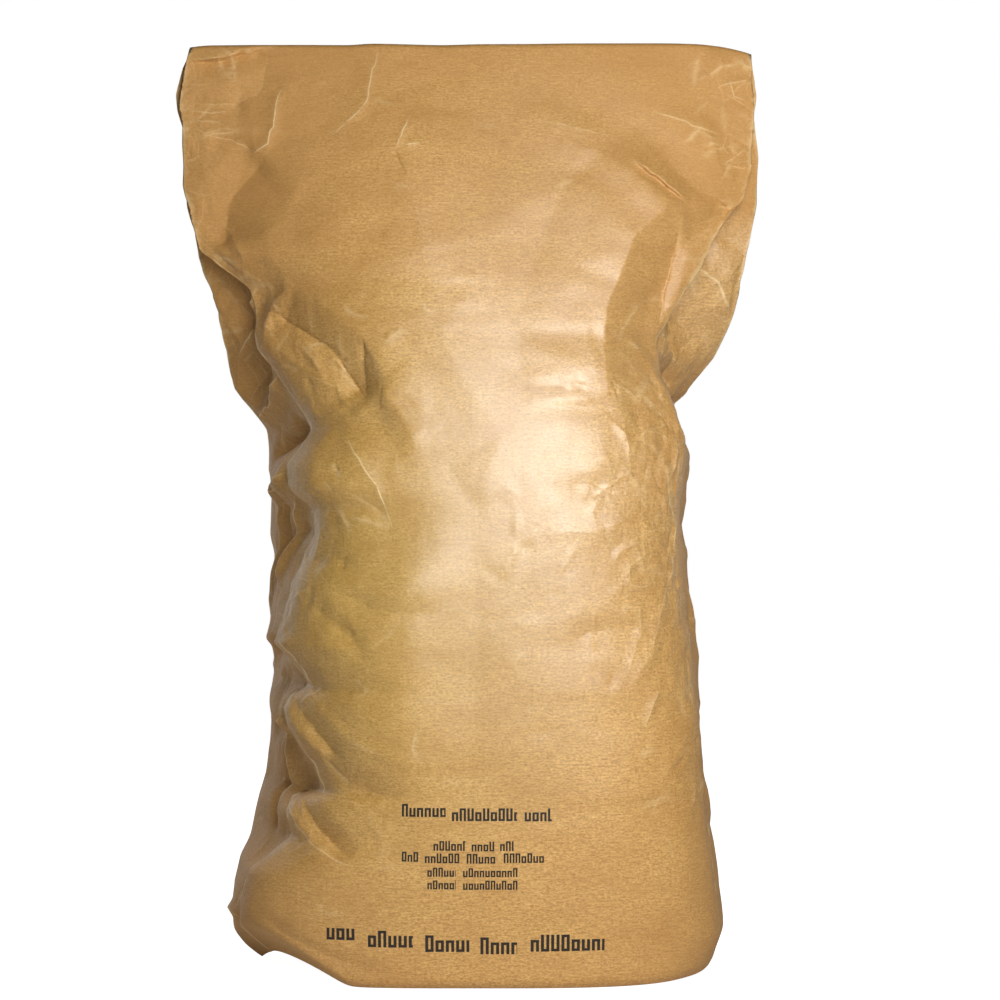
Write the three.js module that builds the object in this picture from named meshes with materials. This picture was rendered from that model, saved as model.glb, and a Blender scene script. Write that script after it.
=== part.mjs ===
// A filled kraft paper sack of flaked barley, standing on its base with its front towards -Y.
//
// The sack is a gusseted paper tube. At the top it lies flat and its end is folded to the back and glued.
// Lower down the flakes open it out: the side gussets unfold, the four corner creases move in and make a neck,
// and the front and back bulge. The base stands flat, with its end corners turned up a little.
// Millimetres, +Z up. The origin is the middle of the base, on the floor.

import * as THREE from "three";

// ---- Driving dimensions -------------------------------------------------------------------------------------

const HEIGHT = 795; // floor to the top fold
const FLAP_HEIGHT = 46; // the top end, folded down onto the back
const FLAP_THICKNESS = 2.5; // its plies
const SACK_CENTRE_X = -7; // middle of the outline below, which becomes X = 0
const SACK_CENTRE_Y = -1;

// The corner creases of the tube, each as [height, x, y]. The left front one is crimped into a zigzag below the neck.
const FRONT_LEFT = [
  [0, -192, -42], [30, -198, -44], [60, -196, -48], [100, -176, -55], [133, -156, -58], [179, -142, -60],
  [214, -160, -58], [248, -149, -60], [282, -171, -56], [330, -158, -58], [380, -139, -58], [425, -156, -54],
  [461, -143, -52], [504, -168, -46], [534, -187, -38], [573, -204, -28], [582, -203, -26], [617, -238, -19],
  [663, -247, -14], [750, -251, -16], [HEIGHT, -246, -15],
];
const BACK_LEFT = [
  [0, -194, 42], [30, -201, 44], [57, -203, 46], [95, -190, 54], [131, -180, 56], [196, -168, 56],
  [244, -171, 56], [282, -167, 56], [349, -169, 56], [445, -172, 52], [466, -184, 48], [484, -200, 44],
  [500, -209, 40], [532, -215, 32], [588, -228, 18], [617, -237, 10], [663, -247, 4], [713, -249, -2],
  [748, -250, -5], [758, -257, -5], [782, -251, -5], [HEIGHT, -243, -5],
];
const FRONT_RIGHT = [
  [0, 196, -42], [35, 202, -46], [96, 196, -52], [148, 191, -54], [220, 184, -56], [300, 176, -57],
  [360, 168, -57], [395, 169, -57], [440, 172, -56], [475, 166, -54], [505, 153, -54], [518, 155, -52],
  [538, 151, -50], [580, 179, -38], [645, 226, -20], [682, 234, -14], [738, 236, -16], [HEIGHT, 236, -15],
];
const BACK_RIGHT = [
  [0, 197, 42], [35, 202, 46], [96, 196, 54], [148, 190, 55], [209, 183, 56], [305, 175, 56], [349, 172, 56],
  [384, 168, 56], [427, 176, 55], [445, 176, 54], [475, 167, 52], [486, 168, 50], [492, 178, 48],
  [527, 205, 38], [567, 222, 24], [619, 234, 10], [663, 240, 4], [697, 243, 0], [738, 239, -4],
  [755, 241, -5], [HEIGHT, 236, -5],
];

// How far the middle of the front and of the back stands out, as [height, y]. Above the flakes the paper is taut.
const FRONT_MIDDLE = [
  [0, -127], [40, -132], [120, -142], [250, -151], [330, -152], [400, -148], [440, -143], [480, -135],
  [520, -124], [560, -110], [600, -94], [640, -77], [680, -60], [720, -43], [760, -28], [HEIGHT, -17],
];
const BACK_MIDDLE = [
  [0, 120], [40, 128], [120, 139], [250, 148], [380, 150], [440, 144], [500, 126], [560, 98], [620, 66],
  [680, 36], [740, 9], [HEIGHT, -5],
];

// A panel's section over its half width v, from -1 to 1, is (1 - |v|^square)^power, as [height, value].
const PANEL_POWER = [[0, 0.5], [380, 0.55], [470, 0.68], [540, 0.9], [600, 1.05], [HEIGHT, 1.1]];
const PANEL_SQUARE = [[0, 3], [100, 2.6], [400, 2.2], [HEIGHT, 2.2]];

// How far the middle of a gusset stands out past its creases, or, below zero, folds in, as [height, mm].
const GUSSET_BULGE = [
  [0, 4], [45, 11], [90, 9], [300, 9], [430, 8], [470, -2], [500, -12], [540, -20], [600, -28], [660, -30],
  [HEIGHT, -26],
];

const BASE_RADIUS = 11; // rounding between the walls and the base

// The base's turned up corners, each cut off by a plane: its outward direction and its distance from the origin.
const BASE_CORNERS = [
  { outward: [-0.79, -0.49, -0.375], distance: 158 },
  { outward: [0.7, -0.46, -0.55], distance: 149 },
  { outward: [-0.76, 0.5, -0.41], distance: 160 },
  { outward: [0.78, 0.48, -0.4], distance: 160 },
];

// How far the top edge drops towards its corners, as [x, mm].
const TOP_DROP = [[-262, 9], [-246, 2], [-232, 0], [190, 0], [214, 2.5], [230, 6.5], [240, 11]];
const TOP_MIDDLE_Y = -10;

// ---- Folds in the paper ---------------------------------------------------------------------------------------
// A fold is a line [x, z] over a panel, or [y, z] over a gusset. Its crest stands rise mm out of the paper, and a
// valley's rise is below zero. It slopes off over "above" mm on the left of the line's direction, and over "below" mm
// on the right.

const FRONT_FOLDS = [
  // The broad facet on the left, from the top down to the belly, and the soft turn of the belly below it.
  { line: [[-100, 795], [-88, 740], [-69, 698], [-52, 654], [-40, 602], [-37, 540]], rise: 8, above: 60, below: 130 },
  { line: [[-44, 430], [-48, 250], [-40, 90]], rise: 4, above: 90, below: 120 },
  // The shoulder at the left: the panel drops to the gusset.
  { line: [[-214, 592], [-178, 578], [-142, 551], [-113, 522], [-86, 470]], rise: -15, above: 20, below: 60 },
  { line: [[-88, 500], [-68, 478], [-52, 450]], rise: -5, above: 12, below: 26 },
  // The narrow facet along the left edge.
  { line: [[-176, 700], [-196, 668], [-214, 647], [-219, 601]], rise: 8, above: 22, below: 34 },
  // The pocket-shaped fold in the top left corner.
  { line: [[-162, 740], [-168, 716], [-184, 690]], rise: 6, above: 18, below: 16 },
  { line: [[-184, 690], [-203, 700], [-222, 703]], rise: 4, above: 20, below: 14 },
  // The shoulder at the right: a long ridge, with the side facet turned away behind it.
  { line: [[190, 668], [152, 633], [133, 614], [109, 555], [107, 530], [112, 470]], rise: 13, above: 34, below: 80 },
  { line: [[138, 686], [160, 672], [181, 655]], rise: -6, above: 12, below: 16 },
  { line: [[174, 631], [200, 640], [221, 646]], rise: 7, above: 16, below: 26 },
  { line: [[150, 727], [184, 716], [201, 714]], rise: 5, above: 12, below: 20 },
  // Wrinkles down the right of the belly.
  { line: [[62, 414], [105, 412], [137, 426]], rise: -4, above: 14, below: 20 },
  { line: [[74, 287], [103, 296], [150, 298]], rise: -4, above: 14, below: 22 },
  { line: [[158, 324], [149, 300], [127, 248]], rise: 4, above: 14, below: 18 },
  // The pleats that run in from the crimps at the left, each a ridge with a valley under it.
  { line: [[-180, 300], [-162, 286], [-147, 272], [-136, 252], [-126, 238]], rise: 7, above: 16, below: 10 },
  { line: [[-168, 276], [-150, 256], [-137, 228], [-122, 212], [-104, 198]], rise: -15, above: 12, below: 26 },
  { line: [[-176, 256], [-168, 226], [-150, 196], [-132, 174], [-124, 160]], rise: 7, above: 18, below: 10 },
  { line: [[-150, 196], [-140, 172], [-124, 142], [-113, 124], [-98, 113]], rise: -14, above: 12, below: 26 },
  { line: [[-188, 190], [-180, 160], [-168, 134]], rise: -10, above: 12, below: 14 },
  { line: [[-176, 395], [-160, 398], [-138, 384], [-136, 366]], rise: 8, above: 12, below: 16 },
  { line: [[-168, 376], [-150, 356], [-112, 346]], rise: -8, above: 14, below: 20 },
  { line: [[-131, 362], [-98, 347]], rise: -5, above: 14, below: 18 },
];

const BACK_FOLDS = [
  { line: [[-212, 606], [-150, 560], [-95, 515], [-84, 480]], rise: -13, above: 26, below: 60 },
  { line: [[214, 612], [140, 572], [92, 528], [84, 478]], rise: -13, above: 60, below: 26 },
  { line: [[-52, 740], [-36, 660], [-24, 600], [-28, 540]], rise: 8, above: 60, below: 80 },
  { line: [[186, 735], [176, 690], [205, 640]], rise: 6, above: 20, below: 30 },
  { line: [[-120, 700], [-150, 672], [-196, 664]], rise: 5, above: 16, below: 20 },
  { line: [[-165, 300], [-130, 270], [-100, 225]], rise: -9, above: 16, below: 30 },
  { line: [[-172, 250], [-140, 206], [-118, 176]], rise: 6, above: 14, below: 16 },
  { line: [[168, 250], [132, 215], [105, 170]], rise: -9, above: 30, below: 16 },
  { line: [[-90, 400], [-20, 392], [40, 404]], rise: -5, above: 16, below: 20 },
  { line: [[50, 330], [110, 336], [150, 352]], rise: 5, above: 16, below: 18 },
];

const LEFT_FOLDS = [
  { line: [[-60, 461], [-20, 456], [20, 440], [60, 430]], rise: -14, above: 20, below: 22 },
  { line: [[-54, 430], [-20, 412], [20, 396], [50, 392]], rise: 8, above: 14, below: 14 },
  { line: [[-60, 378], [-20, 372], [40, 350]], rise: -10, above: 16, below: 22 },
  { line: [[-60, 250], [-20, 256], [40, 268]], rise: -13, above: 14, below: 20 },
  { line: [[-60, 180], [-10, 196], [50, 206]], rise: -11, above: 14, below: 20 },
  { line: [[-50, 214], [-30, 180], [-34, 140]], rise: 9, above: 12, below: 14 },
];

const RIGHT_FOLDS = [
  { line: [[-50, 546], [-22, 530], [6, 520]], rise: 9, above: 14, below: 20 },
  { line: [[-54, 512], [-24, 516], [10, 500]], rise: -8, above: 14, below: 14 },
  { line: [[-56, 476], [0, 470], [56, 480]], rise: -8, above: 16, below: 18 },
  { line: [[-56, 384], [0, 378], [56, 388]], rise: -5, above: 16, below: 18 },
];

// ---- Mesh resolution --------------------------------------------------------------------------------------------

const FRONT_COLUMNS = 42;
const BACK_COLUMNS = 28;
const GUSSET_COLUMNS = 6;
const WALL_ROW = 12.5; // height of a row of the wall
const ARC_SAMPLES = 160; // steps in which a panel's arc is measured

// ---- Small tools ------------------------------------------------------------------------------------------------

const clamp = (value, low, high) => Math.min(high, Math.max(low, value));
const mix = (a, b, share) => a + (b - a) * share;
const smooth = (share) => share * share * (3 - 2 * share);

// The value at height z of a table whose rows are [height, value, value, ...], on a curve with no overshoot.
function profile(table, z, column = 1) {
  const last = table.length - 2;
  let i = 0;
  while (i < last && z > table[i + 1][0]) i += 1;
  const step = (k) => table[k + 1][0] - table[k][0];
  const slope = (k) => (table[k + 1][column] - table[k][column]) / step(k);
  const tangent = (k) => {
    if (k === 0 || k === table.length - 1) return slope(Math.min(k, last));
    const before = slope(k - 1);
    const after = slope(k);
    return before * after <= 0 ? 0 : (2 * before * after) / (before + after);
  };
  const share = clamp((z - table[i][0]) / step(i), 0, 1);
  const t2 = share * share;
  const t3 = t2 * share;
  return (
    (2 * t3 - 3 * t2 + 1) * table[i][column] +
    (t3 - 2 * t2 + share) * step(i) * tangent(i) +
    (3 * t2 - 2 * t3) * table[i + 1][column] +
    (t3 - t2) * step(i) * tangent(i + 1)
  );
}

const creaseAt = (table, z) => ({ x: profile(table, z, 1), y: profile(table, z, 2) });

// How far a fold lifts the paper at [x, z].
function foldLift(fold, x, z) {
  let nearest = Infinity;
  let side = 1;
  let along = 0;
  let run = 0;
  for (let i = 0; i + 1 < fold.line.length; i += 1) {
    const [ax, az] = fold.line[i];
    const dx = fold.line[i + 1][0] - ax;
    const dz = fold.line[i + 1][1] - az;
    const length = Math.hypot(dx, dz);
    const share = clamp(((x - ax) * dx + (z - az) * dz) / (length * length), 0, 1);
    const distance = Math.hypot(x - ax - share * dx, z - az - share * dz);
    if (distance < nearest) {
      nearest = distance;
      side = dx * (z - az) - dz * (x - ax);
      along = run + share * length;
    }
    run += length;
  }
  const width = side > 0 ? fold.above : fold.below;
  if (nearest >= width) return 0;
  const endFade = smooth(clamp(Math.min(along, run - along) / (0.3 * run) + 0.25, 0, 1));
  return fold.rise * (1 - nearest / width) ** 1.12 * endFade;
}

const allFolds = (folds, x, z) => folds.reduce((sum, fold) => sum + foldLift(fold, x, z), 0);

// ---- The sack's surface -------------------------------------------------------------------------------------------

// Values of v, from -1 to 1, that cut a panel's arc into equal lengths.
function evenSteps(halfWidth, depth, square, power, columns) {
  const shares = [0];
  const values = [-1];
  let previous = { x: -halfWidth, y: 0 };
  for (let i = 1; i <= ARC_SAMPLES; i += 1) {
    const v = -Math.cos((Math.PI * i) / ARC_SAMPLES);
    const point = { x: halfWidth * v, y: depth * Math.max(0, 1 - Math.abs(v) ** square) ** power };
    shares.push(shares[i - 1] + Math.hypot(point.x - previous.x, point.y - previous.y));
    values.push(v);
    previous = point;
  }
  const total = shares[ARC_SAMPLES];
  const steps = [];
  let i = 1;
  for (let column = 0; column < columns; column += 1) {
    const wanted = (total * column) / columns;
    while (shares[i] < wanted) i += 1;
    const share = (wanted - shares[i - 1]) / (shares[i] - shares[i - 1]);
    steps.push(mix(values[i - 1], values[i], share));
  }
  return steps;
}

// One panel, from crease `from` to crease `to`, at height z. facing is -1 at the front and 1 at the back.
function panelRow(from, to, middle, z, columns, facing, folds) {
  const halfWidth = Math.abs(to.x - from.x) / 2;
  const square = profile(PANEL_SQUARE, z);
  const power = profile(PANEL_POWER, z);
  const depth = Math.abs(middle - (from.y + to.y) / 2);
  return evenSteps(halfWidth, depth, square, power, columns).map((v) => {
    const share = (v + 1) / 2;
    const x = mix(from.x, to.x, share);
    const arch = Math.max(0, 1 - Math.abs(v) ** square) ** power;
    return { x, y: mix(mix(from.y, to.y, share), middle, arch) + facing * allFolds(folds, x, z) };
  });
}

// One gusset, from crease `from` to crease `to`, which their panels' folds shift by fromLift and toLift. outward is 1
// at the right and -1 at the left. On the belly it bulges, and towards the top it folds in to a sharp valley.
function gussetRow(from, to, z, columns, outward, folds, fromLift, toLift) {
  const bulge = profile(GUSSET_BULGE, z);
  return Array.from({ length: columns }, (_, column) => {
    const share = column / columns;
    const arch = bulge > 0 ? Math.sin(Math.PI * share) : 1 - Math.abs(2 * share - 1);
    const edgeFade = smooth(clamp(Math.min(share, 1 - share) * 8, 0, 1));
    const y = mix(from.y, to.y, share);
    const lift = allFolds(folds, y, z) * edgeFade;
    return {
      x: mix(from.x, to.x, share) + outward * (bulge * arch + lift),
      y: y + fromLift * (1 - share) ** 2 + toLift * share ** 2,
    };
  });
}

// The whole outline at height z: front, right gusset, back, left gusset, with each one's columns times `finer`.
function outline(z, finer) {
  const frontLeft = creaseAt(FRONT_LEFT, z);
  const frontRight = creaseAt(FRONT_RIGHT, z);
  const backLeft = creaseAt(BACK_LEFT, z);
  const backRight = creaseAt(BACK_RIGHT, z);
  const flap = z > HEIGHT - FLAP_HEIGHT ? FLAP_THICKNESS : 0;
  const backMiddle = profile(BACK_MIDDLE, z) + flap;
  const frontLift = (crease) => -allFolds(FRONT_FOLDS, crease.x, z);
  const backLift = (crease) => allFolds(BACK_FOLDS, crease.x, z);
  const [front, back, gusset] = [FRONT_COLUMNS * finer, BACK_COLUMNS * finer, GUSSET_COLUMNS * finer];
  const rightLifts = [frontLift(frontRight), backLift(backRight)];
  const leftLifts = [backLift(backLeft), frontLift(frontLeft)];
  return [
    ...panelRow(frontLeft, frontRight, profile(FRONT_MIDDLE, z), z, front, -1, FRONT_FOLDS),
    ...gussetRow(frontRight, backRight, z, gusset, 1, RIGHT_FOLDS, ...rightLifts),
    ...panelRow(backRight, backLeft, backMiddle, z, back, 1, BACK_FOLDS),
    ...gussetRow(backLeft, frontLeft, z, gusset, -1, LEFT_FOLDS, ...leftLifts),
  ];
}

// Brings a point back onto the plane of each turned up corner that it lies beyond.
function turnUpCorners(point) {
  for (const { outward, distance } of BASE_CORNERS) {
    const direction = new THREE.Vector3(...outward).normalize();
    const beyond = Math.max(0, point.dot(direction) - distance);
    point.addScaledVector(direction, -beyond);
  }
  point.z = Math.max(0, point.z);
  return point;
}

// A row of the wall as points. It rounds into the base, draws together at the folded top, and drops at its corners.
function wallRow(z, finer) {
  const below = clamp((BASE_RADIUS - z) / BASE_RADIUS, 0, 1);
  const inset = BASE_RADIUS * (1 - Math.sqrt(1 - below * below));
  const crest = clamp((z - (HEIGHT - 4)) / 4, 0, 1);
  const squeeze = Math.sqrt(1 - 0.85 * crest * crest);
  const middle = TOP_MIDDLE_Y * smooth(clamp((z - 600) / 180, 0, 1));
  const dropShare = smooth(clamp((z - 690) / 105, 0, 1));
  return outline(z, finer).map(({ x, y }) => {
    const keep = 1 - inset / Math.hypot(x, y);
    const across = middle + (y * keep - middle) * squeeze;
    return turnUpCorners(new THREE.Vector3(x * keep, across, z - profile(TOP_DROP, x) * dropShare));
  });
}

// The heights of the rows: close together at the base and at the folded top, even between.
function rowHeights() {
  const low = [0, 2.5, 6, 11, 20];
  const high = [HEIGHT - FLAP_HEIGHT - 1, HEIGHT - FLAP_HEIGHT + 1, HEIGHT - 30, HEIGHT - 14, HEIGHT - 4, HEIGHT - 1];
  const start = low[low.length - 1];
  const end = high[0];
  const rows = Math.round((end - start) / WALL_ROW);
  const middle = Array.from({ length: rows - 1 }, (_, i) => mix(start, end, (i + 1) / rows));
  return [...low, ...middle, ...high, HEIGHT];
}

// Closes the ring of points that starts at `first` with a flat face. facesUp turns the face's normal to +Z.
function capTriangles(row, first, facesUp) {
  const contour = row.map((point) => new THREE.Vector2(point.x, point.y));
  return THREE.ShapeUtils.triangulateShape(contour, []).flatMap(([a, b, c]) =>
    facesUp ? [first + a, first + b, first + c] : [first + a, first + c, first + b],
  );
}

// The two triangles of the quad a, b, d, c, cut along the diagonal that lies nearer to the paper's true middle there.
function quadTriangles(points, [a, b, c, d], trueMiddle) {
  const middleOf = (i, j) => points[i].clone().lerp(points[j], 0.5);
  const cutsAD = middleOf(a, d).distanceTo(trueMiddle) < middleOf(b, c).distanceTo(trueMiddle);
  return cutsAD ? [a, b, d, a, d, c] : [a, b, c, b, d, c];
}

function sackGeometry() {
  const heights = rowHeights();
  const rows = heights.map((z) => wallRow(z, 1));
  const around = rows[0].length;
  const points = rows.flat();
  const triangles = [];
  for (let row = 0; row + 1 < rows.length; row += 1) {
    const halfway = wallRow((heights[row] + heights[row + 1]) / 2, 2);
    for (let column = 0; column < around; column += 1) {
      const next = (column + 1) % around;
      const [a, b] = [row * around + column, row * around + next];
      triangles.push(...quadTriangles(points, [a, b, a + around, b + around], halfway[2 * column + 1]));
    }
  }
  triangles.push(...capTriangles(rows[0], 0, false));
  triangles.push(...capTriangles(rows.at(-1), points.length - around, true));
  const geometry = new THREE.BufferGeometry().setFromPoints(points).setIndex(triangles);
  geometry.translate(-SACK_CENTRE_X, -SACK_CENTRE_Y, 0);
  geometry.computeVertexNormals();
  return geometry;
}

const kraftPaper = new THREE.MeshStandardMaterial({ color: 0xc99a5e, roughness: 0.78, metalness: 0 });

const sack = new THREE.Mesh(sackGeometry(), kraftPaper);
sack.name = "sack";

const part = new THREE.Group();
part.add(sack);

export default part;
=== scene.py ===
"""The look of a filled kraft paper sack of flaked barley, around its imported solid.

The sack is a tube of kraft paper, glued together along the middle of its back. It is laid out
here in millimetres, like the solid, and built in metres. Four corner creases run up the tube;
the front, the back and the two gussets lie between them. Folds are lines over the paper, each
with a crest and two sides that slope away. The surface is triangulated along the creases and the
folds, so that they stay crisp. The front looks towards -Y, and +Z is up.
"""

import math
from types import SimpleNamespace

import bpy
import numpy as np
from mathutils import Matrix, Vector
from mathutils.geometry import delaunay_2d_cdt


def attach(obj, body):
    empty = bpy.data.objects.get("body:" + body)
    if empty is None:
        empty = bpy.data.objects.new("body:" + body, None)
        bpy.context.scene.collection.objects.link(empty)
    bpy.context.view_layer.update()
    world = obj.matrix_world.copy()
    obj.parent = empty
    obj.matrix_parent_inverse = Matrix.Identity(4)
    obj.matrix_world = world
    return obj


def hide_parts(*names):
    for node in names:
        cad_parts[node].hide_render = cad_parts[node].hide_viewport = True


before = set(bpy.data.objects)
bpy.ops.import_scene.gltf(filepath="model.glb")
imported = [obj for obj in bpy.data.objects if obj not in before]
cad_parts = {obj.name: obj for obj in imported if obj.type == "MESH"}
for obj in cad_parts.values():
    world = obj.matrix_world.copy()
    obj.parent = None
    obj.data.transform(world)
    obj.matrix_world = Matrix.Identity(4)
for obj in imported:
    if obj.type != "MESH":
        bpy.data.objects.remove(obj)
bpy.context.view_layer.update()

MM = 0.001
TOLERANCE = 1e-6

# ---- The sack's driving dimensions, in millimetres -----------------------------------------------

HEIGHT = 795
NECK_HEIGHT = 560
FLAP_HEIGHT = 46  # the top end, folded down onto the back
FLAP_THICKNESS = 0.9
FLAP_START = 1.5  # how far under the top it begins
FLAP_INSET = 4  # from the back's two creases
FLAP_GAP = 0.2  # how far it stands off the back, at least
FLAP_SPRING = 1.25  # and how much more below its fold
FLAP_LIFT = (0.2, 1.6)  # and at its loose edge
FLAP_KNOTS = 24  # its edge and its lift vary between this many places
FLAP_COLUMNS = 190
FLAP_ROWS = 16
SEAM_X = 30
SACK_CENTRE = (-7, -1, 0)  # middle of the outline below, which becomes the origin

# The corner creases, as [height, x, y]. The left front one is crimped into a zigzag under the neck.
FRONT_LEFT = [
    [0, -196, -42], [30, -202, -44], [60, -200, -48], [90, -190, -50], [106, -168, -52],
    [119, -154, -58], [138, -157, -52], [150, -152, -48], [159, -129, -64], [181, -139, -61],
    [192, -147, -58], [210, -158, -52], [225, -163, -46], [236, -158, -46], [245, -140, -64],
    [258, -147, -61], [270, -157, -57], [281, -171, -50], [296, -164, -54], [330, -156, -58],
    [378, -134, -60], [394, -134, -60], [412, -156, -52], [430, -158, -48], [461, -138, -56],
    [504, -166, -46], [532, -184, -38], [560, -188, -31], [580, -194, -27], [615, -237, -19],
    [663, -250, -14], [750, -254, -16], [HEIGHT, -247, -15],
]
BACK_LEFT = [
    [0, -196, 42], [30, -203, 44], [57, -206, 46], [90, -204, 54], [107, -199, 55],
    [125, -196, 56], [143, -191, 56], [161, -187, 56], [180, -184, 56], [240, -181, 56],
    [321, -178, 56], [374, -182, 56], [445, -184, 52], [463, -186, 48], [481, -199, 44],
    [499, -213, 40], [517, -217, 36], [534, -220, 32], [570, -226, 20], [588, -230, 17],
    [620, -241, 9], [655, -251, 3], [713, -253, -2], [740, -258, -4], [758, -260, -5],
    [780, -254, -5], [HEIGHT, -245, -5],
]
FRONT_RIGHT = [
    [0, 199, -42], [35, 206, -46], [96, 199, -52], [148, 192, -54], [220, 189, -56],
    [300, 178, -57], [360, 173, -57], [395, 173, -57], [440, 177, -56], [475, 170, -54],
    [505, 157, -54], [518, 158, -52], [538, 154, -50], [580, 176, -39], [634, 211, -24],
    [660, 232, -18], [682, 237, -14], [738, 239, -16], [HEIGHT, 238, -15],
]
BACK_RIGHT = [
    [0, 200, 42], [35, 206, 46], [96, 199, 54], [148, 191, 55], [209, 187, 56], [305, 178, 56],
    [349, 177, 56], [384, 175, 56], [427, 180, 55], [445, 180, 54], [475, 174, 52], [486, 174, 50],
    [492, 181, 48], [527, 210, 38], [567, 227, 24], [619, 239, 10], [663, 243, 4], [697, 246, 0],
    [738, 242, -4], [755, 243, -5], [HEIGHT, 238, -5],
]

# The middle of the front and of the back, as [height, y]. Above the flakes the paper is taut.
FRONT_MIDDLE = [
    [0, -127], [40, -132], [120, -142], [250, -151], [330, -152], [400, -148], [440, -143],
    [480, -135], [520, -124], [560, -110], [600, -94], [640, -77], [680, -60], [720, -43],
    [760, -28], [HEIGHT, -17],
]
BACK_MIDDLE = [
    [0, 120], [40, 128], [120, 139], [250, 148], [380, 150], [440, 144], [500, 126], [560, 98],
    [620, 66], [680, 36], [740, 9], [HEIGHT, -5],
]

# A panel's section over its half width v, from -1 to 1, is (1 - |v|^square)^power, as [height, value].
PANEL_POWER = [[0, 0.5], [380, 0.55], [470, 0.68], [540, 0.9], [600, 1.05], [HEIGHT, 1.1]]
PANEL_SQUARE = [[0, 3], [100, 2.9], [420, 2.8], [520, 2.4], [HEIGHT, 2.2]]

# How far the middle of a gusset stands out past its creases, or folds in where it is below zero,
# as [height, mm].
GUSSET_BULGE = [
    [0, 4], [45, 8], [90, 7], [300, 7], [430, 6], [470, -2], [500, -12], [540, -22], [600, -30],
    [660, -30], [HEIGHT, -26],
]

BASE_RADIUS = 11  # rounding between the walls and the base
CREST_RADIUS = 4  # rounding of the top's folded edge
CREST_SHARE = 0.98  # how far that rounding closes the top
TOP_MIDDLE = -10  # the y that the top's two walls close onto
CLOSING = (600, 180)  # where they start to turn to it, and over how many millimetres
DROPPING = (690, 105)  # the same for the drop to the top's corners

# The base's turned up corners, each cut off by a plane: its outward direction, its distance from
# the outline's origin, and how softly the paper bends onto it.
BASE_CORNERS = [
    [(-0.56, -0.36, -0.746), 98, 2.0],
    [(0.66, -0.42, -0.62), 154, 5.0],
    [(-0.61, 0.30, -0.735), 122, 3.0],
    [(0.78, 0.48, -0.40), 166, 7.0],
]

# The top edge drops to its corners, as [x, mm].
TOP_DROP = [
    [-262, 10], [-246, 3.5], [-228, 1.8], [-150, 1.4], [-112, 1.6], [-88, 0.4], [-62, 0.9],
    [-30, 1.6], [5, 0.8], [45, 0.6], [85, 0.1], [160, 0], [188, 0.6], [208, 2.5], [228, 6.5],
    [242, 11],
]

# ---- Named folds ---------------------------------------------------------------------------------


def fold(rise, above, below, *line, soft=0.5, wear_and_highlight=None, curve=1.12, fade=0.3):
    """A fold over the points [x, z] of its line.

    Its crest stands rise mm out of the paper, or in where rise is below zero. It slopes off over
    "above" mm on the left of the line's direction and over "below" mm on the right. Its crest is
    rounded over soft mm, a curve over 1 lets its feet run out gently, and fade is the share of its
    length over which each end dies away. wear_and_highlight, from 0 to 1, is how pale its crest is
    painted: partly fibres whitened by wear, and partly a painted highlight where it catches the light.
    """
    if wear_and_highlight is None:
        wear_and_highlight = np.clip(rise / 8, 0.1, 0.7) / max(1, soft)
    made = {"rise": rise, "above": above, "below": below, "soft": soft, "wear_and_highlight": wear_and_highlight, "curve": curve}
    return made | {"fade": fade, "line": np.array(line, float)}


def slit(depth, *line):
    """A narrow groove, steep on the left of its line, as where one layer of paper ends over another."""
    return fold(-depth, 1.5, 7, *line, soft=0.1, wear_and_highlight=0, fade=0.2)


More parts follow.
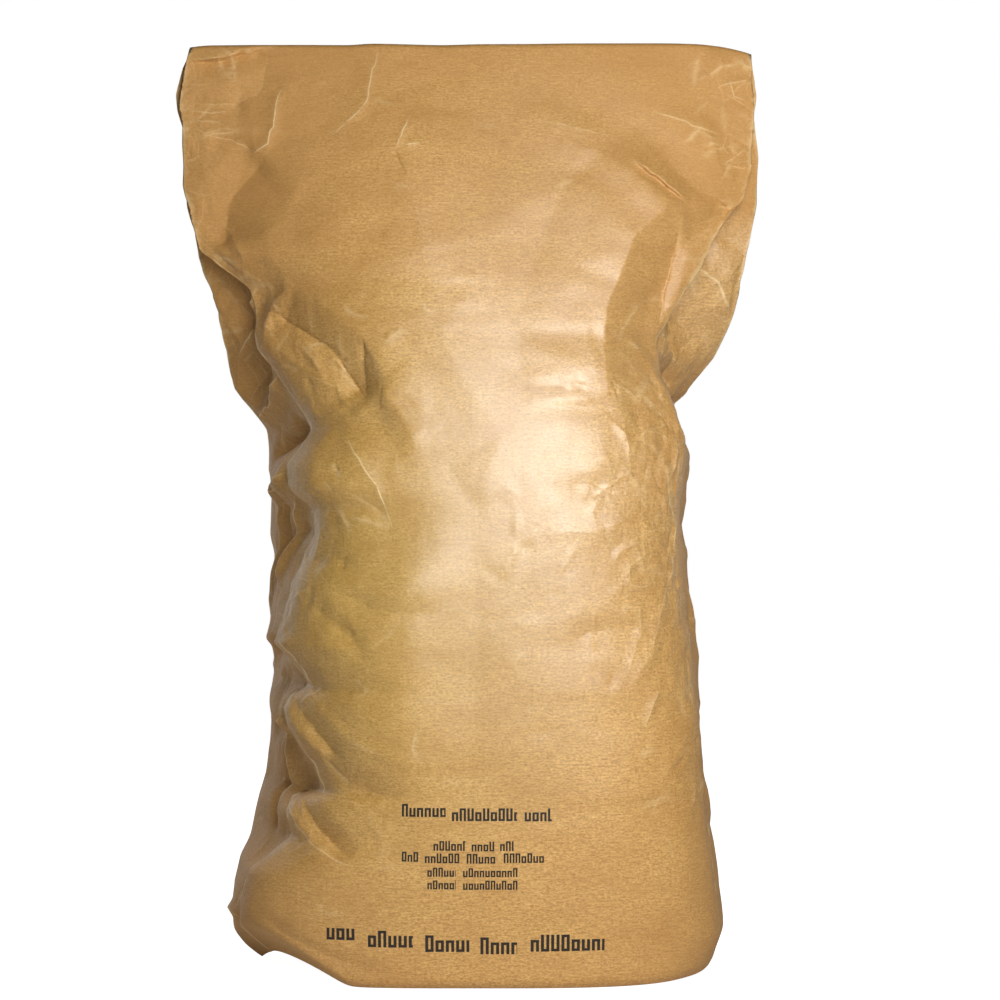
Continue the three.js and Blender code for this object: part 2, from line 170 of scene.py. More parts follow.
FRONT_FOLDS = [
    # The broad facet on the left, from the top down to the belly.
    fold(7, 60, 130, [-100, 795], [-88, 740], [-69, 698], [-52, 654], [-40, 602], [-37, 540],
         soft=9, wear_and_highlight=0),
    fold(2.2, 22, 30, [-68, 697], [-60, 676], [-52, 654], [-44, 630], [-41, 600],
         soft=1, wear_and_highlight=0.1, fade=0.5),
    fold(1.6, 7, 18, [-84, 785], [-88, 770], [-91, 752], [-92, 742], [-100, 731], [-120, 712], wear_and_highlight=0.6),
    slit(1.2, [-68, 697], [-63, 684], [-60, 676]),
    fold(1.2, 6, 4, [-57, 724], [-63, 709], [-67, 697], wear_and_highlight=0.7),
    fold(0.6, 2, 2, [-58, 700], [-47, 702], wear_and_highlight=0.6),
    fold(-2.5, 30, 40, [-165, 640], [-120, 620], [-72, 612], soft=4, wear_and_highlight=0),
    # The shoulder at the left: the panel drops to the gusset.
    fold(-15, 25, 88, [-190, 580], [-173, 562], [-142, 543], [-118, 526], [-98, 497], [-88, 480],
         curve=1.2, wear_and_highlight=0, fade=0.12),
    slit(1.6, [-170, 560], [-142, 542], [-120, 528]),
    slit(1.4, [-112, 515], [-98, 496], [-91, 484]),
    fold(-4, 12, 30, [-92, 536], [-91, 512], [-90, 484], soft=0.4, wear_and_highlight=0, fade=0.16),
    slit(2.2, [-92, 534], [-91, 512], [-90, 486]),
    slit(1.0, [-76, 496], [-78, 474]),
    fold(5, 40, 12, [-82, 500], [-64, 476], [-50, 452], [-45, 438], soft=2.5, wear_and_highlight=0, fade=0.25),
    fold(1.2, 5, 9, [-140, 505], [-118, 496], [-96, 480], wear_and_highlight=0.2),
    fold(1.5, 9, 6, [-160, 540], [-138, 520], [-124, 498], wear_and_highlight=0.1),
    fold(-2, 9, 12, [-188, 530], [-172, 508], [-160, 480], wear_and_highlight=0),
    # The fold in the top left corner: a pocket shaped facet, and the side facet under it.
    fold(-3.4, 22, 18, [-180, 784], [-183, 757], [-188, 750], [-202, 746], [-217, 736],
         wear_and_highlight=0.1, fade=0.2),
    fold(1.8, 6, 7, [-167, 752], [-170, 741], [-173, 720], [-178, 706], [-189, 699], wear_and_highlight=0.7, fade=0.2),
    fold(-4, 9, 30, [-229, 714], [-209, 711], [-189, 699], wear_and_highlight=0.3, fade=0.2),
    fold(-8, 40, 26, [-180, 694], [-193, 679], [-213, 658], [-217, 630], [-216, 612], wear_and_highlight=0, fade=0.15),
    fold(2.4, 18, 1.4, [-246, 783], [-220, 782], [-202, 788], [-172, 793], soft=0.2, wear_and_highlight=0.3),
    fold(-4, 2.4, 18, [-247, 781], [-220, 780], [-202, 786], [-176, 790],
         soft=0.1, wear_and_highlight=0, fade=0.2),
    fold(0.9, 3, 3, [-245, 737], [-228, 734], [-213, 736], wear_and_highlight=0.3),
    fold(0.7, 3, 3, [-246, 729], [-230, 727], [-217, 724], wear_and_highlight=0.3),
    fold(0.7, 2.5, 3, [-240, 744], [-224, 741], [-204, 742], wear_and_highlight=0.2),
    fold(0.8, 3, 4, [-244, 721], [-228, 717], [-210, 715], wear_and_highlight=0.2),
    fold(2, 7, 9, [-219, 640], [-206, 622], [-196, 600], wear_and_highlight=0.1),
    # The shoulder at the right: a long ridge, with the side facet turned away behind it.
    fold(17, 32, 70, [186, 668], [152, 640], [133, 622], [109, 558], [107, 530], [110, 476],
         soft=1.2, wear_and_highlight=0, fade=0.16),
    fold(3, 10, 1.6, [134, 690], [150, 678], [168, 664], [181, 655], soft=0.3, wear_and_highlight=0.1, fade=0.2),
    slit(2.4, [136, 685], [152, 673], [170, 659], [179, 653]),
    fold(2.2, 10, 12, [173, 660], [175, 640], [176, 630], soft=0.3, wear_and_highlight=0.1, fade=0.2),
    fold(-3, 14, 16, [176, 632], [200, 641], [222, 648], wear_and_highlight=0.1, fade=0.2),
    slit(1.6, [173, 630], [166, 600], [160, 576], [154, 549]),
    fold(-2, 10, 14, [173, 630], [163, 588], [157, 573], [154, 549], wear_and_highlight=0.1, fade=0.2),
    fold(3, 18, 14, [182, 655], [190, 645], [200, 640], wear_and_highlight=0.1),
    slit(1.6, [200, 662], [210, 656], [218, 648]),
    # Small folds in the top right corner.
    fold(2.2, 14, 24, [154, 733], [170, 729], [186, 722], [204, 716], wear_and_highlight=0.5),
    fold(-2, 7, 14, [191, 782], [200, 770], [208, 757], wear_and_highlight=0.1),
    fold(1.4, 5, 5, [208, 757], [226, 766], [240, 774], wear_and_highlight=0.4),
    fold(-1.4, 4, 4, [214, 752], [226, 748], [238, 741], wear_and_highlight=0.2),
    fold(0.9, 3, 4, [218, 765], [223, 752], [234, 747], wear_and_highlight=0.4),
    fold(2.4, 5, 14, [213, 688], [234, 704], wear_and_highlight=0.3, fade=0.2),
    fold(-1.6, 3, 6, [213, 689], [234, 687], wear_and_highlight=0.3, fade=0.2),
    fold(0.8, 3, 4, [216, 716], [213, 704], [220, 696], wear_and_highlight=0.3),
    fold(2, 16, 34, [55, 724], [86, 718], [112, 711], wear_and_highlight=0.3),
    fold(4, 34, 20, [66, 706], [102, 698], [138, 676], [168, 652], soft=3, wear_and_highlight=0),
    fold(4, 12, 36, [190, 736], [205, 704], [214, 672], wear_and_highlight=0),
    # Wrinkles down the right of the belly.
    fold(-2.4, 12, 20, [62, 414], [105, 412], [137, 426], wear_and_highlight=0),
    fold(2, 14, 22, [54, 373], [103, 376], [137, 389], wear_and_highlight=0),
    fold(-3, 12, 22, [74, 287], [103, 296], [150, 298], wear_and_highlight=0),
    fold(2.6, 14, 8, [146, 466], [142, 458], [132, 445], [133, 430],
         soft=0.3, wear_and_highlight=0.2, fade=0.2),
    fold(3, 10, 12, [158, 324], [151, 300], [146, 280], [129, 250],
         soft=0.3, wear_and_highlight=0.3, fade=0.2),
    fold(1.6, 5, 7, [150, 245], [146, 232], [139, 215], soft=0.3, wear_and_highlight=0.4),
    fold(3, 12, 14, [149, 171], [183, 201], wear_and_highlight=0.1),
    fold(-2.2, 5, 9, [187, 204], [174, 190], [160, 176], soft=0.3, wear_and_highlight=0),
    fold(1.4, 4, 6, [166, 452], [169, 425], [167, 392], soft=0.3, wear_and_highlight=0.5),
    fold(1.5, 9, 9, [112, 500], [122, 470], [126, 440], wear_and_highlight=0.1),
    fold(-2, 7, 12, [134, 480], [137, 450], [130, 420], wear_and_highlight=0),
    fold(0.9, 3, 4, [108, 470], [124, 455], [128, 430], wear_and_highlight=0.5),
    fold(1.8, 6, 9, [157, 432], [163, 398], [168, 381], [166, 346], [158, 324],
         soft=0.2, wear_and_highlight=0.5, fade=0.2),
    fold(1.3, 5, 7, [128, 440], [127, 423], [103, 409], [96, 391], [100, 380],
         soft=0.2, wear_and_highlight=0.35),
    fold(1.3, 5, 7, [137, 367], [139, 355], [127, 347], [125, 333], [135, 330], [150, 333],
         soft=0.2, wear_and_highlight=0.4),
    fold(-1.2, 5, 7, [152, 468], [158, 446], [148, 428], [152, 408], soft=0.2, wear_and_highlight=0.2),
    fold(1.2, 6, 6, [134, 320], [136, 293], [125, 262], soft=0.2, wear_and_highlight=0.3),
    fold(1.2, 5, 6, [112, 349], [122, 362], [137, 367], soft=0.2, wear_and_highlight=0.3),
    # The pleats that run in from the crimps at the left, each a groove with a ridge below it.
    fold(-8, 16, 11, [-150, 240], [-146, 228], [-131, 210], [-116, 194], [-106, 188],
         soft=0.3, wear_and_highlight=0, fade=0.2),
    fold(2.5, 9, 16, [-162, 230], [-150, 212], [-134, 197], [-114, 189], wear_and_highlight=0.1, fade=0.2),
    fold(-8, 16, 11, [-147, 162], [-143, 150], [-129, 130], [-117, 118], [-102, 106],
         soft=0.3, wear_and_highlight=0, fade=0.2),
    fold(2.5, 9, 16, [-160, 150], [-150, 134], [-136, 118], [-118, 108], [-102, 103],
         wear_and_highlight=0.5, fade=0.2),
    fold(6, 8, 6, [-172, 194], [-164, 172], [-158, 142], [-154, 118], wear_and_highlight=0.8, fade=0.2),
    fold(-7, 7, 12, [-178, 186], [-171, 165], [-165, 138], wear_and_highlight=0, fade=0.2),
    fold(2, 3, 2, [-166, 283], [-152, 271], [-142, 259], [-136, 248],
         soft=0.2, wear_and_highlight=0.9, fade=0.15),
    fold(2, 3, 2, [-143, 192], [-135, 181], [-130, 172], [-125, 158],
         soft=0.2, wear_and_highlight=0.9, fade=0.15),
    fold(-3, 14, 20, [-150, 262], [-124, 232], [-96, 214], wear_and_highlight=0),
    fold(-3, 12, 16, [-136, 192], [-100, 172], [-70, 158], soft=2, wear_and_highlight=0),
    fold(1.6, 10, 8, [-120, 168], [-104, 156], [-92, 152], wear_and_highlight=0.2),
    fold(6, 8, 16, [-176, 404], [-158, 400], [-142, 384], [-139, 366], wear_and_highlight=0.6),
    fold(-7, 12, 20, [-164, 376], [-150, 356], [-118, 348], wear_and_highlight=0, fade=0.2),
    fold(-3, 9, 14, [-131, 362], [-98, 347], wear_and_highlight=0),
    fold(-3, 12, 14, [-118, 330], [-78, 311], [-28, 310], wear_and_highlight=0),
    fold(-3, 12, 14, [-140, 318], [-112, 300], [-92, 290], wear_and_highlight=0),
    fold(1.3, 9, 7, [-104, 450], [-88, 424], [-77, 407], [-67, 380], wear_and_highlight=0.8),
    fold(1.4, 5, 7, [-120, 118], [-100, 104], [-60, 100], wear_and_highlight=0.1),
    fold(-3, 9, 16, [-118, 300], [-96, 286], [-88, 268], wear_and_highlight=0),
    # The left of the belly, turned to the front above and to the side below.
    fold(7, 55, 25, [-136, 480], [-134, 440], [-132, 400], [-136, 352], soft=6, wear_and_highlight=0),
    fold(9, 45, 85, [-60, 385], [-54, 330], [-56, 240], [-62, 130], soft=12, wear_and_highlight=0, fade=0.25),
    # The turned up corner at the left of the base.
    fold(-3, 9, 14, [-186, 62], [-160, 44], [-120, 26], [-80, 16], wear_and_highlight=0),
]

BACK_FOLDS = [
    # The glued overlap down the middle: the edge of the upper paper, one ply high.
    fold(1.2, 40, 1.2, [SEAM_X, 8], [SEAM_X - 1, 200], [SEAM_X + 1, 430], [SEAM_X, 600], [SEAM_X, 790],
         wear_and_highlight=0.15),
    fold(-13, 26, 60, [-212, 606], [-150, 560], [-95, 515], [-84, 480]),
    fold(-13, 60, 26, [214, 612], [140, 572], [92, 528], [84, 478]),
    fold(8, 60, 80, [-52, 740], [-36, 660], [-24, 600], [-28, 540]),
    fold(6, 20, 30, [186, 735], [176, 690], [205, 640]),
    fold(5, 14, 20, [-120, 700], [-150, 672], [-196, 664]),
    fold(-9, 16, 30, [-165, 300], [-130, 270], [-100, 225]),
    fold(6, 10, 14, [-172, 250], [-140, 206], [-118, 176]),
    fold(-9, 30, 16, [168, 250], [132, 215], [105, 170]),
    fold(-5, 14, 20, [-90, 400], [-20, 392], [40, 404]),
    fold(5, 14, 18, [50, 330], [110, 336], [150, 352]),
    fold(-4, 12, 16, [-150, 120], [-90, 108], [-50, 112]),
    fold(4, 14, 8, [-200, 60], [-168, 37], [-140, 17], [-118, 5]),
    fold(4, 8, 14, [200, 60], [168, 37], [140, 17], [118, 5]),
]

# The gussets' folds run over [y, z]; their crests stand out sideways.
LEFT_FOLDS = [
    fold(-10, 16, 18, [-60, 461], [-20, 452], [20, 440]),
    fold(7, 12, 14, [-54, 430], [-20, 412], [20, 400]),
    fold(-7, 14, 20, [-60, 378], [-20, 372], [30, 356]),
    fold(6, 8, 8, [-44, 404], [-26, 372], [-18, 330], fade=0.15),
    fold(-5, 7, 8, [-20, 420], [0, 372], [4, 320], fade=0.15),
    fold(4, 6, 7, [0, 400], [20, 350], [20, 300], fade=0.15),
    fold(-9, 12, 18, [-60, 286], [-20, 276], [30, 262]),
    fold(-9, 12, 18, [-60, 200], [-10, 204], [30, 206]),
    fold(8, 9, 12, [-54, 240], [-34, 200], [-30, 150], fade=0.15),
    fold(-6, 8, 10, [-20, 190], [-14, 150], [-24, 110]),
    fold(7, 10, 12, [-40, 590], [-16, 560], [20, 530]),
    fold(-9, 14, 16, [-34, 560], [0, 520], [34, 490], fade=0.2),
    fold(9, 9, 12, [-40, 506], [0, 482], [34, 470], fade=0.2),
    fold(-7, 9, 9, [-44, 470], [-10, 452], [26, 440], fade=0.2),
    fold(5, 8, 7, [-46, 46], [-14, 50], [20, 48]),
]
RIGHT_FOLDS = [
    fold(7, 12, 20, [-50, 546], [-22, 530], [6, 520]),
    fold(-6, 10, 14, [-54, 512], [-24, 516], [10, 500]),
    fold(-4, 18, 22, [-56, 474], [0, 470], [40, 478]),
    fold(2, 20, 24, [-56, 436], [0, 440], [40, 430]),
    fold(-3, 16, 20, [-56, 384], [0, 378], [40, 388]),
    fold(4, 12, 14, [-40, 330], [-10, 280], [6, 240]),
    fold(-3, 14, 16, [-56, 220], [0, 210], [40, 216]),
    fold(3, 12, 12, [-30, 170], [0, 130], [30, 110]),
    fold(6, 12, 16, [-30, 620], [4, 590], [24, 560], fade=0.2),
    fold(-5, 10, 16, [-30, 590], [0, 556], [20, 530], fade=0.2),
]

# ---- The unrolled paper --------------------------------------------------------------------------
#
# A place on the paper is [s, z]. s is a nominal length, the same at every height, that runs from the
# seam in the middle of the back to the left gusset, the front from left to right, the right gusset
# and back to the seam.

PANEL_SPAN = 420
GUSSET_SPAN = 120
LEFT_START = PANEL_SPAN / 2
FRONT_START = LEFT_START + GUSSET_SPAN
RIGHT_START = FRONT_START + PANEL_SPAN
BACK_START = RIGHT_START + GUSSET_SPAN
GIRTH = BACK_START + PANEL_SPAN / 2
CREASES = (LEFT_START, FRONT_START, RIGHT_START, BACK_START)

LEFT_GUSSET = SimpleNamespace(start=LEFT_START, end=FRONT_START, axis=1, outward=(-1, 0))
FRONT = SimpleNamespace(start=FRONT_START, end=RIGHT_START, axis=0, outward=(0, -1))
RIGHT_GUSSET = SimpleNamespace(start=RIGHT_START, end=BACK_START, axis=1, outward=(1, 0))
BACK = SimpleNamespace(start=BACK_START, end=GIRTH + LEFT_START, axis=0, outward=(0, 1))
SIDES = (FRONT, BACK, LEFT_GUSSET, RIGHT_GUSSET)

# ---- Resolution ----------------------------------------------------------------------------------

FORM_ROW = 1.5  # the smooth form is worked out on a grid this fine
FORM_PANEL_COLUMNS = 240
FORM_GUSSET_COLUMNS = 40
ARC_SAMPLES = 240  # over a panel's arc, to cut it into equal lengths
SIDE_SAMPLES = 300  # over a side, to find a fold's places on the paper
LATTICE = 4.3  # how far apart the paper's own points lie, in rows that make near equal triangles
ROW_SHARE = 0.87
LATTICE_MARGIN = 2.5  # from the seam
SNAP = 0.3  # points and edges that are nearer than this become one, so that no triangle is a sliver
BAND = 0.9  # two lines of points this far from each crest round it off
CREST_STEP = 3.0  # from point to point along a named fold or a crease
STEEP = 7  # a flank narrower than this gets a line of points along its foot
EDGE_PANEL_COLUMNS = 120  # points along the ends of the tube
EDGE_GUSSET_COLUMNS = 34
CLEAR_OF_SEAM = 3  # the lines of points stop this far from it, as it and the ends have their own
CLEAR_OF_BASE = 14
CLEAR_OF_TOP = 8
LOW_ROWS = (0, 0.6, 1.4, 2.5, 4, 6, 8.5, 11.5)  # the heights of the rows of points at the base
HIGH_ROWS = tuple(HEIGHT - d for d in (5.5, 3.5, 2, 1, 0.4, 0))
BASE_STEPS = 60

# ---- The paper's small relief --------------------------------------------------------------------

PAPER_SEED = 50
FACET_SIZE = 36  # about how far apart the facets' corners lie
FACET_JITTER = 0.42  # how far they stray, as a share of that
FACET_RELIEF = 0.6  # millimetres, on the taut middle
FACET_RELIEF_AT_NECK = 1.1  # added by the creases at the neck
FACET_NECK_REACH = (120, 85)  # how far that reaches up and down, and to either side
FACET_RELIEF_AT_CREASE = 0.5  # added beside the creases at any height
FACET_CREASE_REACH = 55
RELIEF_FADE = (25, 14)  # the relief dies away over this much at the base and at the top
LEAST_CRUMPLED = 0.12  # how crumpled the paper is where it is smoothest, from 0 to 1
CRUMPLED_AT_CREASE = 0.5  # added beside the creases
CRUMPLED_CREASE_REACH = 22
CRUMPLED_SPREAD = 1.6  # a crumpled place reaches this many times as far as its folds
CRUMPLED_FADE = (30, 12)  # it dies away over this much at the base and at the top
SMALL_FOLD_BEND = 0.28  # radians, from one run of a small fold to the next
SMALL_FOLD_WEAR = 0.7
OUTWARD_SHARE = 0.55  # of the small folds
NARROW_FOLD = 6  # a small fold under this width may be worn
WEAR_AND_HIGHLIGHT_WIDTH = 0.6  # half the width of the pale line along a crest, partly wear and partly painted highlight
# The corner creases are painted pale over this half width: partly wear, and partly a painted highlight
# where their edges catch the light.
CREASE_WEAR_AND_HIGHLIGHT_WIDTH = 1.1
CREASE_WEAR_AND_HIGHLIGHT_HEIGHTS = np.linspace(0, HEIGHT, 54)  # the creases' whitening comes and goes between these
WORN_AND_HIGHLIGHT_HEIGHTS = (545, 700)  # between these the front right crease is painted pale all along, partly wear and partly highlight
WORN_AND_HIGHLIGHT_AMOUNT = 0.85
FOLD_WANDER = 0.55  # how far a named fold strays from its line, at points this far apart
FOLD_WANDER_STEP = 7.0
CREASE_WANDER = 0.6  # the same for a corner crease, at this many points over its height
CREASE_WANDER_POINTS = 46
CREASE_KINK = (0.7, 0.4)  # how straight a corner crease runs between its bends, in x and in y

# ---- The paper's pattern and the bake's islands --------------------------------------------------

CAP_PAPER = (1000, -1000)  # where the ends' stretch of the pattern lies, clear of the print
WALL_ISLAND = (0.98, 0.69)  # the wall's share of the bake's width and height
WALL_ISLAND_CORNER = (0.01, 0.30)
CAP_ISLAND_SCALE = 0.00085  # a millimetre of the ends, as a share of the bake
TOP_ISLAND_MIDDLE = (0.75, 0.14)
BASE_ISLAND_MIDDLE = (0.24, 0.14)


def smooth(share):
    """0 up to a share of 0, 1 from a share of 1, and an even S between."""
    share = np.clip(share, 0, 1)
    return share * share * (3 - 2 * share)


def mix(a, b, share):
    return a + (b - a) * share


def bell(distance, reach):
    """A soft hump: 1 at no distance, about a third at reach, and next to nothing at twice that."""
    return np.exp(-((distance / reach) ** 2))


def profile(table, z, column=1, kink=0.0):
    """The value at heights z of a table of rows [height, value, ...], on a curve that never
    overshoots.

    kink mixes in straight runs between the rows, which gives a paper crease its bends.
    """
    rows = np.array(table, float)
    heights, values = rows[:, 0], rows[:, column]
    steps = np.diff(heights)
    slopes = np.diff(values) / steps
    before, after = slopes[:-1], slopes[1:]
    turning = before * after <= 0
    inner = np.where(turning, 0, 2 * before * after / np.where(turning, 1, before + after))
    tangents = np.concatenate([slopes[:1], inner, slopes[-1:]])
    i = np.clip(np.searchsorted(heights, z, side="right") - 1, 0, len(slopes) - 1)
    t = np.clip((z - heights[i]) / steps[i], 0, 1)
    curve = (
        (2 * t**3 - 3 * t**2 + 1) * values[i]
        + (t**3 - 2 * t**2 + t) * steps[i] * tangents[i]
        + (3 * t**2 - 2 * t**3) * values[i + 1]
        + (t**3 - t**2) * steps[i] * tangents[i + 1]
    )
    return mix(curve, np.interp(z, heights, values), kink)


# ---- Folds ---------------------------------------------------------------------------------------


def fold_lift(fold, x, z):
    """How far a fold lifts the paper at points [x, z], and how close each is to the crest."""
    line = fold["line"]
    reach = max(fold["above"], fold["below"])
    lift, crest = np.zeros(x.shape), np.zeros(x.shape)
    low, high = line.min(0) - reach, line.max(0) + reach
    near = (x > low[0]) & (x < high[0]) & (z > low[1]) & (z < high[1])
    if not near.any():
        return lift, crest
    px, pz = x[near], z[near]
    nearest = np.full(px.shape, np.inf)
    side, along = np.zeros(px.shape), np.zeros(px.shape)
    run = 0.0
    for (ax, az), (bx, bz) in zip(line[:-1], line[1:]):
        dx, dz = bx - ax, bz - az
        length = math.hypot(dx, dz)
        share = np.clip(((px - ax) * dx + (pz - az) * dz) / length**2, 0, 1)
        distance = np.hypot(px - ax - share * dx, pz - az - share * dz)
        closer = distance < nearest
        nearest = np.where(closer, distance, nearest)
        side = np.where(closer, dx * (pz - az) - dz * (px - ax), side)
        along = np.where(closer, run + share * length, along)
        run += length
    width = np.where(side > 0, fold["above"], fold["below"])
    end_fade = np.clip(np.minimum(along, run - along) / (fold["fade"] * run) + 0.1, 0, 1)
    rounded = np.hypot(nearest, fold["soft"]) - fold["soft"]
    lift[near] = fold["rise"] * np.clip(1 - rounded / width, 0, 1) ** fold["curve"] * end_fade
    # How pale the crest is painted: partly wear, partly a painted highlight.
    crest[near] = fold["wear_and_highlight"] * bell(nearest, WEAR_AND_HIGHLIGHT_WIDTH) * np.sqrt(end_fade)
    return lift, crest


def all_folds(folds, x, z):
    """What fold_lift gives for several folds: the sum of the lifts, and the nearest crest."""
    lift, crest = np.zeros(x.shape), np.zeros(x.shape)
    for fold in folds:
        one_lift, one_crest = fold_lift(fold, x, z)
        lift += one_lift
        crest = np.maximum(crest, one_crest)
    return lift, crest


def wandering(folds, seed):
    """The folds with their lines bent a little from side to side, as paper creases are."""
    rng = np.random.default_rng(PAPER_SEED + seed)
    bent = []
    for one in folds:
        line = resampled(one["line"], FOLD_WANDER_STEP)
        wander = rng.normal(0, FOLD_WANDER, len(line))
        wander[[0, -1]] = 0
        bent.append(one | {"line": beside(line, wander[:, None])})
    return bent


def nearest_crease(s):
    """The distance over the paper from places s to the nearest corner crease."""
    return np.min([np.abs(s - crease) for crease in CREASES], axis=0)


def random_folds(rng, count, length, rise, width, place):
    """Seeded small folds over the unrolled paper, of three runs each.

    place() gives a fold's middle [s, z] and its direction in radians. A narrow fold's crest is whitened.
    """
    folds = []
    for _ in range(count):
        middle, direction = place()
        run = rng.uniform(*length)
        bends = np.cumsum(rng.normal(0, SMALL_FOLD_BEND, 3)) + direction
        steps = np.stack([np.cos(bends), np.sin(bends)], 1) * run / 3
        line = np.concatenate([[[0, 0]], steps.cumsum(0)]) - steps.sum(0) / 2 + middle
        sign = 1 if rng.random() < OUTWARD_SHARE else -1
        wear_and_highlight = 0.5 * rng.random() ** 2 if width[0] < NARROW_FOLD else 0
        height = sign * rng.uniform(*rise)
        folds.append(fold(height, rng.uniform(*width), rng.uniform(*width), *line, wear_and_highlight=wear_and_highlight))
    return folds


# The small folds of the paper: their number, length, rise, the width of each flank, and where they
# lie. CRUMPLED_FOLD says the same of the fine ones on crumpled paper.
SMALL_FOLDS = [
    (40, (80, 190), (0.5, 1.4), (30, 60), "anywhere"),
    (70, (30, 90), (0.25, 0.7), (6, 14), "belly"),
    (60, (20, 60), (0.3, 0.9), (4, 10), "neck"),
    (140, (8, 30), (0.15, 0.4), (2.5, 6), "anywhere"),
]
CRUMPLED_FOLD = ((8, 38), (0.3, 1.1), (2, 6))
BELLY = (30, 470)  # the heights that its wrinkles keep to, most of them near level
BELLY_TURN = 0.35  # radians
NECK_SPREAD = (55, 80)  # how far the neck's stray from a corner crease, and from its height

# Places where the paper is crumpled, as [s, z], how far they reach along s and z, and their number
# of fine folds. FULLY_CRUMPLED is the number at which the paper is crumpled all over.
FULLY_CRUMPLED = 36
CRUMPLED = [
    [(348, 735), (26, 24), 16],
    [(352, 560), (30, 40), 16],
    [(425, 510), (34, 26), 18],
    [(735, 740), (20, 34), 18],
    [(735, 655), (18, 24), 12],
    [(690, 470), (30, 40), 26],
    [(650, 380), (60, 50), 34],
    [(700, 300), (36, 60), 26],
    [(690, 190), (40, 50), 12],
    [(716, 420), (16, 60), 40],
    [(722, 290), (14, 80), 40],
    [(350, 340), (24, 80), 30],
    [(345, 200), (24, 70), 26],
    [(400, 340), (40, 60), 18],
    [(420, 200), (60, 60), 12],
    [(270, 400), (50, 160), 50],
    [(810, 470), (50, 160), 50],
    [(150, 560), (60, 60), 20],
    [(930, 560), (60, 60), 20],
    [(80, 740), (70, 30), 10],
]


def small_folds():
    """The minor creases: broad bends, wrinkles over the belly, and fine ones on crumpled paper."""
    rng = np.random.default_rng(PAPER_SEED)

    def anywhere():
        return [rng.uniform(0, GIRTH), rng.uniform(20, HEIGHT - 20)], rng.uniform(0, math.pi)

    def belly():
        return [rng.uniform(0, GIRTH), rng.uniform(*BELLY)], rng.normal(0, BELLY_TURN)

    def neck():
        s = rng.choice(CREASES) + rng.normal(0, NECK_SPREAD[0])
        return [s, rng.normal(NECK_HEIGHT, NECK_SPREAD[1])], rng.uniform(0, math.pi)

    places = {"anywhere": anywhere, "belly": belly, "neck": neck}
    folds = []
    for count, length, rise, width, where in SMALL_FOLDS:
        folds += random_folds(rng, count, length, rise, width, places[where])
    for middle, reach, count in CRUMPLED:
        folds += random_folds(
            rng, count, *CRUMPLED_FOLD,
            lambda: (rng.normal(middle, reach), rng.uniform(0, math.pi)),
        )
    return folds


# ---- The smooth form -----------------------------------------------------------------------------


def arch_over(v, square, power):
    """How far a panel stands out at places v, from -1 to 1, as a share of its middle, row by row."""
    return np.clip(1 - np.abs(v) ** square[:, None], 0, 1) ** power[:, None]


def even_steps(half_width, depth, square, power, columns):
    """Values of v, from -1 to 1, that cut each row's arc into equal lengths: rows by columns."""
    v = -np.cos(np.linspace(0, math.pi, ARC_SAMPLES + 1))
    x, y = half_width[:, None] * v[None], depth[:, None] * arch_over(v[None], square, power)
    lengths = np.concatenate([np.zeros((len(x), 1)), np.hypot(np.diff(x), np.diff(y)).cumsum(1)], 1)
    wanted = np.linspace(0, 1, columns + 1)[:-1]
    return np.array([np.interp(wanted * row[-1], row, v) for row in lengths])


def crease(table, z, seed):
    """A corner crease at heights z, with the small wander of a crease in thick paper."""
    rng = np.random.default_rng(PAPER_SEED + seed)
    knots = np.linspace(0, HEIGHT, CREASE_WANDER_POINTS)
    wander = [np.interp(z, knots, rng.normal(0, CREASE_WANDER, knots.size)) for _ in range(2)]
    x = profile(table, z, 1, kink=CREASE_KINK[0]) + wander[0]
    y = profile(table, z, 2, kink=CREASE_KINK[1]) + 0.5 * wander[1]
    return x, y


def panel(start, end, middle, z):
    """A panel between two creases, as rows by columns of x and y."""
    (x0, y0), (x1, y1) = start, end
    square, power = profile(PANEL_SQUARE, z), profile(PANEL_POWER, z)
    depth = np.abs(middle - (y0 + y1) / 2)
    v = even_steps(np.abs(x1 - x0) / 2, depth, square, power, FORM_PANEL_COLUMNS)
    share = (v + 1) / 2
    chord = mix(y0[:, None], y1[:, None], share)
    y = mix(chord, middle[:, None], arch_over(v, square, power))
    return mix(x0[:, None], x1[:, None], share), y


def gusset(start, end, z, outward):
    """A gusset between two creases: it bulges on the belly and folds in to a valley further up."""
    (x0, y0), (x1, y1) = start, end
    share = np.arange(FORM_GUSSET_COLUMNS)[None] / FORM_GUSSET_COLUMNS
    bulge = profile(GUSSET_BULGE, z)[:, None]
    arch = np.where(bulge > 0, np.sin(math.pi * share), 1 - np.abs(2 * share - 1))
    x = mix(x0[:, None], x1[:, None], share) + outward * bulge * arch
    return x, mix(y0[:, None], y1[:, None], share)


def columns_round(panel_columns, gusset_columns):
    """Places s right round the paper, with so many over each panel and over each gusset."""
    panel_steps = np.arange(panel_columns) / panel_columns * PANEL_SPAN
    gusset_steps = np.arange(gusset_columns) / gusset_columns * GUSSET_SPAN
    half = panel_steps[:panel_columns // 2]
    return np.concatenate([
        half, LEFT_START + gusset_steps, FRONT_START + panel_steps,
        RIGHT_START + gusset_steps, BACK_START + half, [GIRTH],
    ])


